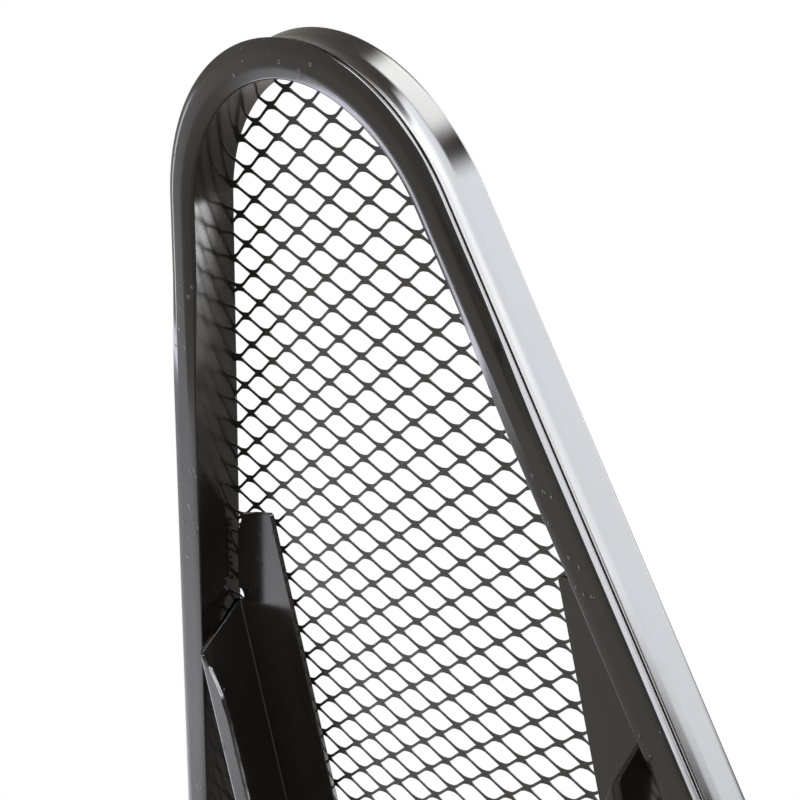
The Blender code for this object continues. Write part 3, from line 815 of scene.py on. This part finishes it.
TONGUE_SIDE_CUT = (
    (ARM_OUT - 13.0, ARM_FRONT - 5, 0.3),
    (ARM_OUT - 13.0, ARM_FRONT + 4.0, 1.0),
    (ARM_OUT - 10.8, ARM_FRONT + 6.5, 5.0),
    (WALL_IN, WALL_FRONT - 3.5, 0.6),
    (WALL_IN, WALL_FRONT + 0.8, 0.3),
    (FAR, WALL_FRONT + 0.8, 1),
    (FAR, ARM_FRONT - 5, 1),
)
TONGUE_END_CUT = (
    (NEAR, ARM_FRONT - 6, 1),
    (FAR, ARM_FRONT - 6, 1),
    (FAR, ARM_FRONT + 8.0, 1),
    (ARM_OUT - 12.0, ARM_FRONT + 6.5, 0.5),
    (ARM_OUT - 15.8, ARM_FRONT + 0.8, 1.2),
    (ARM_OUT - 23, ARM_FRONT - 0.6, 12.0),
    (ARM_IN + 0.9, ARM_FRONT - TONGUE_LEAN + 0.3, 0.8),
    (NEAR, ARM_FRONT + 4, 1),
)
RELIEF_R = 2.6  # the notch where the bend between web and wall starts
RELIEF_AT = (WALL_IN - 0.2, WALL_FRONT - RELIEF_R)


def make_arm(word, side):
    """A bent channel, open towards the centre line, with a flat tongue in front of its wall."""
    profile = [(u * MM, v * MM) for u, v in rounded(ARM_PROFILE, 8)]
    ends = (Vector((0, (ARM_FRONT - TONGUE_LEAN) * MM, TOP_Z)), Vector((0, arm_high.y, TOP_Z)))
    channel = loft([ring_at(end, X_AXIS * side, -UP, profile) for end in ends])

    def in_plan(u, v, w):
        return Vector((side * u * MM, v * MM, TOP_Z - w * MM))

    def from_side(u, v, w):
        return Vector((side * w * MM, u * MM, TOP_Z - v * MM))

    relief = [(RELIEF_AT[0] + u, RELIEF_AT[1] + v) for u, v in circle(RELIEF_R, 32)]
    tools = [
        prism(WALL_FRONT_CUT, NEAR, FAR, from_side),
        prism(rounded(LIP_FRONT_CUT, 7), LIP_TOP, ARM_DEEP + 2, in_plan),
        prism(rounded(LIP_BACK_CUT), LIP_TOP, ARM_DEEP + 2, in_plan),
        prism(rounded(TONGUE_SIDE_CUT), -4, BELOW_WEB + 0.1, in_plan),
        prism(rounded(TONGUE_END_CUT), -4, BELOW_WEB + 4, in_plan),
        prism(relief, -4, BELOW_WEB + 4, in_plan),
    ]
    for rivet in RIVETS:
        centre = (rivet.y / MM, (TOP_Z - rivet.z) / MM)
        hole = [(centre[0] + u, centre[1] + v) for u, v in circle((RIVET_R + GAP) / MM, 24)]
        tools.append(prism(hole, NEAR, FAR, from_side))
    shape = carve(channel, tools)
    bmesh.ops.remove_doubles(shape, verts=shape.verts, dist=0.00002)
    soften(shape, 0.00022, 55.0)
    keep_flats_flat(instead_of(f"arm_{word}", shape, sharp=40.0))


def blob(shape, centre, radius, scale):
    """A small round lump, drawn out or flattened along each axis by scale."""
    bmesh.ops.create_uvsphere(
        shape, u_segments=14, v_segments=9, radius=radius,
        matrix=Matrix.Translation(centre) @ Matrix.Diagonal((*scale, 1.0)),
    )


TACKS = 9
TACK_R = 0.0009
TACK_DEPTH = 0.0009  # below the middle of the mesh
DIMPLE_R = 0.0008
DIMPLE_AT = Vector((-WALL_IN * MM, -0.0045, TOP_Z - 0.0185))


def make_tacks(word, side):
    """Tacks of weld that hold the tongue's leaning edge to the mesh."""
    shape = bmesh.new()
    start = Vector((side * (ARM_OUT - 10.2) * MM, (ARM_FRONT + 6.5) * MM, TOP_Z - TACK_DEPTH))
    end = Vector((side * (WALL_IN + 0.4) * MM, (WALL_FRONT - 5.0) * MM, TOP_Z - TACK_DEPTH))
    for i in range(TACKS):
        share = i / (TACKS - 1) + 0.05 * noise.noise(Vector((i * 1.7, side, 0.3)))
        size = TACK_R + 0.0004 * noise.noise(Vector((i * 2.3, side, 4.1)))
        blob(shape, start.lerp(end, min(max(share, 0), 1)), size, (1.0, 1.2, 0.7))
    mesh_piece(f"arm_tacks_{word}", shape, "black_paint", BODY_OF[f"arm_{word}"], sharp=60.0)


def make_dimple():
    """A small mark pressed into the left arm's wall."""
    shape = bmesh.new()
    blob(shape, DIMPLE_AT, DIMPLE_R, (0.3, 1.0, 1.0))
    mesh_piece("arm_dimple", shape, "black_paint", BODY_OF["arm_left"])


for word, side in SIDES:
    make_arm(word, side)
for word, side in SIDES:
    make_tacks(word, side)
make_dimple()


# -------- hinge plates
plate_low, plate_high, _ = box("top_hinge_plate_right")
PLATE_IN = plate_low.x
PLATE_OUT = plate_high.x
CLAMP_R = TOP_PIVOT.z - box("top_clamp_bolt_right")[2].z
PIVOT_BOLT_R = 0.004
CLAMP_BOLT_R = 0.003
bar_low, bar_high, SEAT = box("base_crossbar")
BAR_R = (bar_high.z - bar_low.z) / 2


def bolt_hole(centre, radius):
    return [(centre[0] + u, centre[1] + v) for u, v in circle(radius, 40)]


def clamp_slot(pivot, start, end):
    """The curved slot that the clamp bolt runs in, between two angles in degrees."""
    half = CLAMP_BOLT_R + GAP
    first, last = arc(pivot, CLAMP_R, start, end, 1)
    return [
        *arc(pivot, CLAMP_R + half, start, end, 32),
        *arc(last, half, end, end + 180, 12)[1:-1],
        *arc(pivot, CLAMP_R - half, end, start, 32),
        *arc(first, half, start + 180, start + 360, 12)[1:-1],
    ]


def make_plate(node, side, corners, pivot, slot, rivets=()):
    """A flat plate with a hole for the pivot bolt, a slot for the clamp bolt and holes for rivets."""
    def on_side(u, v, w):
        return Vector((side * w, u, v))

    loops = [rounded(corners, 8), bolt_hole(pivot, PIVOT_BOLT_R + GAP / 3), clamp_slot(pivot, *slot)]
    loops += [bolt_hole((rivet.y, rivet.z), RIVET_R + GAP) for rivet in rivets]
    instead_of(node, sheet(loops, PLATE_IN, PLATE_OUT, on_side))


def make_top_plate(node, side):
    """A quarter disc below the arm, with a straight strip up beside the arm's wall."""
    low, high, _ = box(node)
    pivot = (TOP_PIVOT.y, TOP_PIVOT.z)
    reach = TOP_PIVOT.z - low.z
    corners = [
        (high.y, high.z, 0.002),
        (low.y, high.z, 0.005),
        (low.y, TOP_PIVOT.z + 0.016, 0.006),
        (TOP_PIVOT.y - reach, TOP_PIVOT.z - 0.002, 0.008),
        *arc(pivot, reach, 190.0, 270.0, 32, (0,)),
        (high.y, low.z, 0.006),
    ]
    make_plate(node, side, corners, pivot, (180.0, 270.0), RIVETS)


def make_base_plate(node, word, side):
    """A quarter disc that sits on the floor frame's crossbar and is welded to it on both faces."""
    low, high, _ = box(node)
    seat = (SEAT.y, SEAT.z)
    pivot = (BASE_PIVOT.y, BASE_PIVOT.z)
    corners = [
        *arc(seat, BAR_R + GAP, 0.0, 180.0, 32, (0,)),
        (SEAT.y - 0.0160, SEAT.z, 0.001),
        (SEAT.y - 0.0200, SEAT.z + 0.006, 0.003),
        *arc(pivot, BASE_PIVOT.y - low.y, 180.0, 90.0, 32, (0,)),
        (high.y, high.z, 0.006),
        (high.y, SEAT.z, 0.001),
    ]
    make_plate(node, side, corners, pivot, (90.0, 180.0))
    for face, x in (("inner", PLATE_IN), ("outer", PLATE_OUT)):
        path = [Vector((side * x, u, v)) for u, v in arc(seat, BAR_R + 0.0004, 4.0, 176.0, 60)]
        weld_bead(f"plate_weld_{face}_{word}", path, BODY_OF[node], closed=False)


for word, side in SIDES:
    make_top_plate(f"top_hinge_plate_{word}", side)
    make_base_plate(f"base_hinge_plate_{word}", word, side)


# -------- bolts, sleeves, nuts, knobs, rivets
upright_low, upright_high, _ = box("upright_right")
UPRIGHT_IN = upright_low.x
UPRIGHT_OUT = upright_high.x


def reach_of(node):
    """A node's nearest and farthest distances from the centre plane."""
    low, high, _ = box(node)
    return sorted((abs(low.x), abs(high.x)))


def half_height(node):
    low, high, _ = box(node)
    return (high.z - low.z) / 2


def thread(start, end, radius, pitch=0.001):
    """Ridges of a bolt's thread, as steps."""
    found = []
    turns = int((end - start) / pitch)
    for i in range(turns):
        found.append((start + i * pitch, radius))
        found.append((start + (i + 0.5) * pitch, radius - pitch * 0.45))
    return found


def make_bolt(node, side, radius):
    """A button-headed bolt with a hexagon socket. Its head lies on the outer face of a plate."""
    inner, outer = reach_of(node)
    head_r = half_height(node)
    seat = PLATE_OUT + GAP
    socket = radius * 0.62
    steps = [
        (inner, radius - 0.0009),
        *thread(inner + 0.0006, UPRIGHT_IN - 0.001, radius),
        (UPRIGHT_IN, radius),
        (seat, radius),
        (seat, head_r - 0.0003),
        (seat + 0.0003, head_r),
        *dome((seat + 0.0007, head_r), (outer, socket + 0.0009)),
        (outer, socket + 0.0001, hexagon),
        (outer - 0.0002, socket, hexagon),
        (outer - 0.0017, socket, hexagon),
        (outer - 0.0022, 0.0004),
    ]
    turned(node, side, steps)


def make_sleeve(node, side, bore):
    """A spacer round a bolt, between the upright and a plate."""
    inner, outer = reach_of(node)
    radius = half_height(node)
    chamfer = 0.0003
    steps = [
        (inner, bore),
        (outer, bore),
        (outer, radius - chamfer),
        (outer - chamfer, radius),
        (inner + chamfer, radius),
        (inner, radius - chamfer),
    ]
    turned(node, side, steps, endless=True)


def make_nut(node, side):
    """A lock nut with a collar round its nylon ring."""
    inner, outer = reach_of(node)
    low, high, _ = box(node)
    flat = (high.y - low.y) / 2
    bore = PIVOT_BOLT_R + GAP
    steps = [
        (outer, bore),
        (outer, flat * 0.96),
        (outer - 0.0003, flat, chamfered_hexagon),
        (outer - 0.0010, flat, hexagon),
        (inner + 0.0031, flat, hexagon),
        (inner + 0.0024, flat, chamfered_hexagon),
        (inner + 0.0021, flat * 0.97),
        (inner + 0.0019, flat * 0.88),
        (inner + 0.0006, flat * 0.87),
        (inner + 0.0001, flat * 0.82),
        (inner, flat * 0.78),
        (inner, bore),
    ]
    turned(node, side, steps, endless=True)


# (depth behind the knob's face, radius)
KNOB_COLLAR = ((0.0, 0.0066), (0.0004, 0.0070), (0.0044, 0.0073), (0.0050, 0.0080))
KNOB_GRIP = (
    (0.0053, 0.0095), (0.0058, 0.0104), (0.0068, 0.0109), (0.0100, 0.0112),
    (0.0136, 0.0111), (0.0154, 0.0106), (0.0166, 0.0096), (0.0173, 0.0082),
)
KNOB_BORE_DEPTH = 0.0135


def make_knob(node, side):
    """A six-lobed hand knob on a round collar, its blind bore round the end of the clamp bolt."""
    inner, face = reach_of(node)
    bore = CLAMP_BOLT_R + GAP / 3
    steps = [
        (face - KNOB_BORE_DEPTH, bore),
        (face, bore),
        *((face - depth, radius) for depth, radius in KNOB_COLLAR),
        *((face - depth, radius, six_lobes) for depth, radius in KNOB_GRIP),
        (inner, 0.0064),
        (inner, 0.0047),
        (inner + 0.0004, 0.0044),
        (inner + 0.0006, 0.0010),
    ]
    turned(node, side, steps, "black_plastic", 40.0, sides=96)


def make_rivet(node, side):
    """A rivet with a low head on the plate and a domed tail inside the arm."""
    inner, outer = reach_of(node)
    tail = arm_high.x - SHEET * MM - GAP
    head = PLATE_OUT + GAP
    tail_r = 0.0034
    head_r = 0.0036
    chamfer = 0.0002
    crown_r = 0.0004
    steps = [
        *reversed(dome((tail, tail_r), (inner, crown_r))),
        (tail, RIVET_R),
        (head, RIVET_R),
        (head, head_r - chamfer),
        *dome((head + chamfer, head_r), (outer, crown_r)),
    ]
    turned(node, side, steps, sharp=50.0, sides=32)


for word, side in SIDES:
    for level in ("top", "base"):
        make_bolt(f"{level}_pivot_bolt_{word}", side, PIVOT_BOLT_R)
        make_bolt(f"{level}_clamp_bolt_{word}", side, CLAMP_BOLT_R)
        make_sleeve(f"{level}_pivot_sleeve_{word}", side, PIVOT_BOLT_R + GAP)
        make_sleeve(f"{level}_clamp_sleeve_{word}", side, CLAMP_BOLT_R + GAP)
        make_nut(f"{level}_pivot_nut_{word}", side)
        make_knob(f"{level}_knob_{word}", side)
    for number in (1, 2):
        make_rivet(f"rivet_{word}_{number}", side)


# -------- uprights
UPRIGHT_HALF = (UPRIGHT_OUT - UPRIGHT_IN) / 2
UPRIGHT_WALL = 0.0015
UPRIGHT_CORNER = 0.0028
CROSSBAR_WALL = 0.0012


def square(half, corner):
    """A square profile with round corners."""
    turns = ((1, -1), (1, 1), (-1, 1), (-1, -1))
    return rounded([(u * half, v * half, corner) for u, v in turns], 7)


def make_upright(word, side):
    """A square tube, drilled right through for its four bolts."""
    node = f"upright_{word}"
    low, high, middle = box(node)
    stations = [(Vector((middle.x, middle.y, z)), X_AXIS, Y_AXIS) for z in (low.z, high.z)]
    outer = square(UPRIGHT_HALF, UPRIGHT_CORNER)
    inner = square(UPRIGHT_HALF - UPRIGHT_WALL, UPRIGHT_CORNER - UPRIGHT_WALL)
    tools = []
    for level in ("top", "base"):
        for kind, radius in (("pivot", PIVOT_BOLT_R), ("clamp", CLAMP_BOLT_R)):
            place = box(f"{level}_{kind}_bolt_{word}")[2]
            ends = [(side * x, place.y, place.z) for x in (UPRIGHT_IN - 0.005, UPRIGHT_OUT + 0.005)]
            tools.append(bar(*ends, circle(radius + GAP, 32)))
    instead_of(node, carve(tube(stations, outer, inner), tools), sharp=30.0)


def make_plug(node, mouth_z, direction):
    """A plastic plug in the end of an upright, with a low domed head."""
    low, high, middle = box(node)
    inner = UPRIGHT_HALF - UPRIGHT_WALL - GAP
    stem = 0.006
    head = (high.z - low.z) - stem
    levels = [
        (-stem, inner - 0.0006, 0.0006),
        (0.001 - stem, inner, 0.001),
        (GAP, inner, 0.001),
        (GAP, UPRIGHT_HALF, UPRIGHT_CORNER),
    ]
    for i in range(6):
        turn = math.pi / 2 * i / 5
        inset = 0.0014 * (1 - math.cos(turn))
        rise = GAP + (head - GAP) * (0.35 + 0.65 * math.sin(turn))
        levels.append((rise, UPRIGHT_HALF - inset, UPRIGHT_CORNER - inset))
    rings = []
    for step, half, corner in levels:
        origin = Vector((middle.x, middle.y, mouth_z + direction * step))
        rings.append(ring_at(origin, X_AXIS, Y_AXIS, square(half, corner)))
    instead_of(node, loft(rings), "black_plastic", 40.0)


for word, side in SIDES:
    make_upright(word, side)
    make_plug(f"upright_plug_top_{word}", upright_high.z, 1)
    make_plug(f"upright_plug_base_{word}", upright_low.z, -1)

for node in ("upper_crossbar", "lower_crossbar"):
    low, high, middle = box(node)
    radius = half_height(node)
    stations = [(Vector((x, middle.y, middle.z)), Y_AXIS, UP) for x in (low.x, high.x)]
    crossbar = tube(stations, circle(radius, 48), circle(radius - CROSSBAR_WALL, 48))
    instead_of(node, crossbar)
    for word, side in SIDES:
        path = [
            Vector((side * (UPRIGHT_IN - 0.0005), middle.y + u, middle.z + v))
            for u, v in circle(radius + 0.0003, 72)
        ]
        weld_bead(f"{node}_weld_{word}", path, BODY_OF[node])


# -------- floor frame
BASE_Z = SEAT.z
BASE_NOSE_R = 0.075
tube_low, tube_high, _ = box("base_tube")
BASE_NOSE_Y = tube_low.y + BASE_NOSE_R + BAR_R
BASE_BACK_Y = tube_high.y - BAR_R * SIN
TUBE_WALL = 0.0015


def rail_x(y):
    """The centre of the floor tube's straight side."""
    return (BASE_NOSE_R + (y - BASE_NOSE_Y) * SIN) / COS


def rail_at(side, y):
    return Vector((side * rail_x(y), y, BASE_Z))


def rail_directions(side):
    """Along the floor tube's straight side, and across it, outwards."""
    return Vector((side * SIN, COS, 0.0)), Vector((side * COS, -SIN, 0.0))


def make_base_tube():
    """One bent tube with open ends: a side, the nose and the other side."""
    lean = math.degrees(LEAN)
    pieces = 48
    stations = [(rail_at(-1, BASE_BACK_Y), rail_directions(-1)[1], UP)]
    for i in range(pieces + 1):
        angle = math.radians(180.0 + lean + (180.0 - 2 * lean) * i / pieces)
        out = Vector((math.cos(angle), math.sin(angle), 0.0))
        stations.append((Vector((0.0, BASE_NOSE_Y, BASE_Z)) + out * BASE_NOSE_R, out, UP))
    stations.append((rail_at(1, BASE_BACK_Y), rail_directions(1)[1], UP))
    shape = tube(stations, circle(BAR_R, 40), circle(BAR_R - TUBE_WALL, 40))
    instead_of("base_tube", shape)


def rail_tool(side, y, reach):
    """A round bar along the floor tube's side, a little thicker than the tube."""
    along, _ = rail_directions(side)
    middle = rail_at(side, y)
    return bar(middle - along * reach, middle + along * reach, circle(BAR_R + GAP, 64))


def make_base_crossbar():
    """Coped to fit the floor tube's sides, and welded to them."""
    y = SEAT.y
    stations = [(Vector((x, y, BASE_Z)), Y_AXIS, UP) for x in (-rail_x(y), rail_x(y))]
    crossbar = tube(stations, circle(BAR_R, 48), circle(BAR_R - TUBE_WALL, 48))
    coped = carve(crossbar, [rail_tool(side, y, 0.06) for _, side in SIDES])
    instead_of("base_crossbar", coped)
    for word, side in SIDES:
        path = []
        for u, v in circle(BAR_R, 96):
            inside = -math.sqrt(max(BAR_R * BAR_R - v * v, 0.0))
            x = rail_x(y) + (inside + SIN * u) / COS
            path.append(Vector((side * x, y + u, BASE_Z + v)))
        weld_bead(f"base_weld_{word}", path, BODY_OF["base_crossbar"], 0.0012)


FOOT_LENGTH = 0.032
FOOT_HALF_WIDTH = 0.013
FOOT_ENDS = ((1.0, 0.0012), (0.98, 0.0005), (0.94, 0.0))  # (share of half the length, inset)
GROOVE_PITCH = 0.0052
GROOVE_R = 0.0008


def make_foot(node, side):
    """A rubber pad with a round seat for the tube and five grooves across its sole."""
    _, high, middle = box(node)
    along, across = rail_directions(side)
    half = FOOT_HALF_WIDTH
    height = high.z
    sole = Vector((middle.x, middle.y, 0.0))
    outline = rounded([
        (0.0015 - half, 0.0, 0.0010),
        (half - 0.0015, 0.0, 0.0010),
        (half, 0.0020, 0.0015),
        (half - 0.0010, height, 0.0012),
        (0.0010 - half, height, 0.0012),
        (-half, 0.0020, 0.0015),
    ])
    ends = [*((-share, inset) for share, inset in FOOT_ENDS), *reversed(FOOT_ENDS)]
    rings = []
    for share, inset in ends:
        origin = sole + along * (share * FOOT_LENGTH / 2)
        shrink = (half - inset) / half
        rings.append(ring_at(origin, across, UP, [
            (u * shrink, inset * 0.5 + v * (height - inset) / height) for u, v in outline
        ]))
    tools = [rail_tool(side, middle.y, 0.030)]
    for i in range(-2, 3):
        centre = sole + along * (GROOVE_PITCH * i)
        tools.append(bar(centre - across * 0.02, centre + across * 0.02, circle(GROOVE_R, 12)))
    instead_of(node, carve(loft(rings), tools), "black_rubber")


def make_cap(word, side):
    """A plastic cap over a rear end of the floor tube, with a plug inside it."""
    along, across = rail_directions(side)
    end = rail_at(side, BASE_BACK_Y)
    inner = BAR_R - TUBE_WALL - GAP
    chamfer = 0.0003
    levels = [
        (-0.0100, inner - 0.0008),
        (-0.0085, inner),
        (GAP, inner),
        (GAP, BAR_R - chamfer),
        (GAP + chamfer, BAR_R),
        *dome((0.0016, BAR_R), (0.0040, 0.0010)),
    ]
    rings = [ring_at(end + along * step, across, UP, circle(radius, 40)) for step, radius in levels]
    instead_of(f"base_cap_{word}", loft(rings), "black_plastic", 40.0)


make_base_tube()
make_base_crossbar()
for word, side in SIDES:
    make_foot(f"foot_front_{word}", side)
    make_foot(f"foot_rear_{word}", side)
    make_cap(word, side)


# -------- studio
def direction(azimuth, elevation):
    """A unit vector from an azimuth, 0 along +X and 90 along +Y, and an elevation, in degrees."""
    flat = math.cos(math.radians(elevation))
    return Vector((
        flat * math.cos(math.radians(azimuth)),
        flat * math.sin(math.radians(azimuth)),
        math.sin(math.radians(elevation)),
    ))


def card_mesh(name, azimuths, elevations, distance):
    """A patch of a sphere round the nose, between two azimuths and two elevations, in degrees."""
    shape = bmesh.new()
    shape.loops.layers.uv.new("angles")
    bmesh.ops.create_grid(shape, x_segments=12, y_segments=12, size=0.5, calc_uvs=True)
    centre = Vector((0.0, NOSE_Y, TOP_Z))
    for corner in shape.verts:
        azimuth = azimuths[0] + (azimuths[1] - azimuths[0]) * (corner.co.x + 0.5)
        elevation = elevations[0] + (elevations[1] - elevations[0]) * (corner.co.y + 0.5)
        corner.co = centre + direction(azimuth, elevation) * distance
    return mesh_data(name, shape)


def light_card(name, azimuths, elevations, radiance, fade, colour, distance=2.2):
    """A curved, soft-edged card round the nose, seen only in the paint's reflections.

    radiance is its radiance at the first azimuth and at the second. Angles and fade are in degrees.
    """
    data = card_mesh(name, azimuths, elevations, distance)
    card = placed(name, data)
    card.visible_camera = False
    card.visible_diffuse = False
    card.visible_shadow = False
    made = bpy.data.materials.new(name)
    made.use_nodes = True
    made.cycles.emission_sampling = "NONE"
    tree = made.node_tree
    tree.nodes.clear()
    nodes = Nodes(tree)
    split = nodes.add("SeparateXYZ", Vector=nodes.add("UVMap", {"uv_map": "angles"}).outputs["UV"])
    strength = nodes.between(split.outputs["X"], 0.0, 1.0, *radiance)
    for axis, (low, high) in (("X", azimuths), ("Y", elevations)):
        share = fade / (high - low)
        rise = nodes.between(split.outputs[axis], 0.0, share)
        fall = nodes.between(split.outputs[axis], 1.0 - share, 1.0, 1.0, 0.0)
        strength = nodes.multiply(strength, rise, fall)
    glow = nodes.add("Emission", Color=opaque(colour), Strength=strength)
    total = nodes.add("AddShader")
    nodes.feed(total.inputs[0], glow.outputs[0])
    nodes.feed(total.inputs[1], nodes.add("BsdfTransparent").outputs[0])
    nodes.add("OutputMaterial", Surface=total.outputs[0])
    data.materials.append(made)


def make_world():
    """White to the camera. To the pieces it is a dim, warm grey, a little dimmer overhead."""
    world = bpy.data.worlds.new("studio")
    bpy.context.scene.world = world
    world.use_nodes = True
    nodes = Nodes(world.node_tree)
    background = world.node_tree.nodes["Background"]
    seen = nodes.add("LightPath").outputs["Is Camera Ray"]
    tint = nodes.mix(seen, (1.0, 0.93, 0.85, 1.0), (1.0, 1.0, 1.0, 1.0))
    nodes.feed(background.inputs["Color"], tint)
    height = nodes.add("SeparateXYZ", Vector=nodes.add("TexCoord").outputs["Generated"])
    grey = nodes.between(height.outputs["Z"], -0.2, 0.9, 0.45, 0.35)
    strength = nodes.add("Mix", {"data_type": "FLOAT"})
    for socket, value in zip((0, 2, 3), (seen, grey, 1.0)):
        nodes.feed(strength.inputs[socket], value)
    nodes.feed(background.inputs["Strength"], strength.outputs[0])


def make_floor():
    """A pale matt floor with a soft cloudy tone."""
    shape = bmesh.new()
    bmesh.ops.create_grid(shape, x_segments=1, y_segments=1, size=4.0)
    floor = placed("floor", mesh_data("floor", shape))
    made, nodes, place = new_material("pale_floor")
    tone = nodes.between(nodes.noise(place, 3.0, 4.0), 0.3, 0.7)
    shader = made.node_tree.nodes["Principled BSDF"]
    nodes.feed(shader.inputs["Base Color"], nodes.mix(tone, (0.84, 0.83, 0.80, 1), (0.88, 0.87, 0.84, 1)))
    shader.inputs["Roughness"].default_value = 0.9
    shader.inputs["Specular IOR Level"].default_value = 0.1
    floor.data.materials.append(made)


def make_sky_panel():
    """The only lamp: a wide, soft panel overhead that lights the scene but isn't reflected."""
    data = bpy.data.lights.new("sky_panel", "AREA")
    data.shape = "SQUARE"
    data.size = 2.4
    data.energy = 44.0
    panel = placed("sky_panel", data)
    panel.location = (0.0, 0.0, 2.6)
    panel.visible_camera = False
    panel.visible_glossy = False


make_world()
make_floor()
make_sky_panel()
WHITE = (1.0, 1.0, 1.0)
COOL = (0.95, 0.98, 1.035)
BLUISH = (0.92, 0.94, 1.10)
# name, azimuths, elevations, radiance, fade, colour
light_card("key_right", (-88.0, 11.0), (22.0, 70.0), (16.0, 14.0), 14.0, COOL)
light_card("key_right_low", (-42.0, 12.0), (-14.0, 36.0), (17.5, 14.8), 14.0, COOL)
light_card("key_front_low", (-106.0, -46.0), (-12.0, 32.0), (18.0, 18.0), 14.0, WHITE)
light_card("overhead", (-156.0, 30.0), (52.0, 100.0), (9.0, 8.0), 16.0, WHITE)
light_card("back_right", (36.0, 49.9), (18.0, 33.0), (17.0, 17.0), 1.0, WHITE)
light_card("low_left", (136.0, 192.0), (-38.0, -2.0), (1.2, 0.4), 12.0, BLUISH, distance=0.85)
light_card("low_left_bright", (136.0, 192.0), (-18.5, -2.0), (3.5, 3.5), 6.0, BLUISH, distance=0.85)

view = bpy.context.scene.view_settings
view.view_transform = "Standard"
view.look = "None"
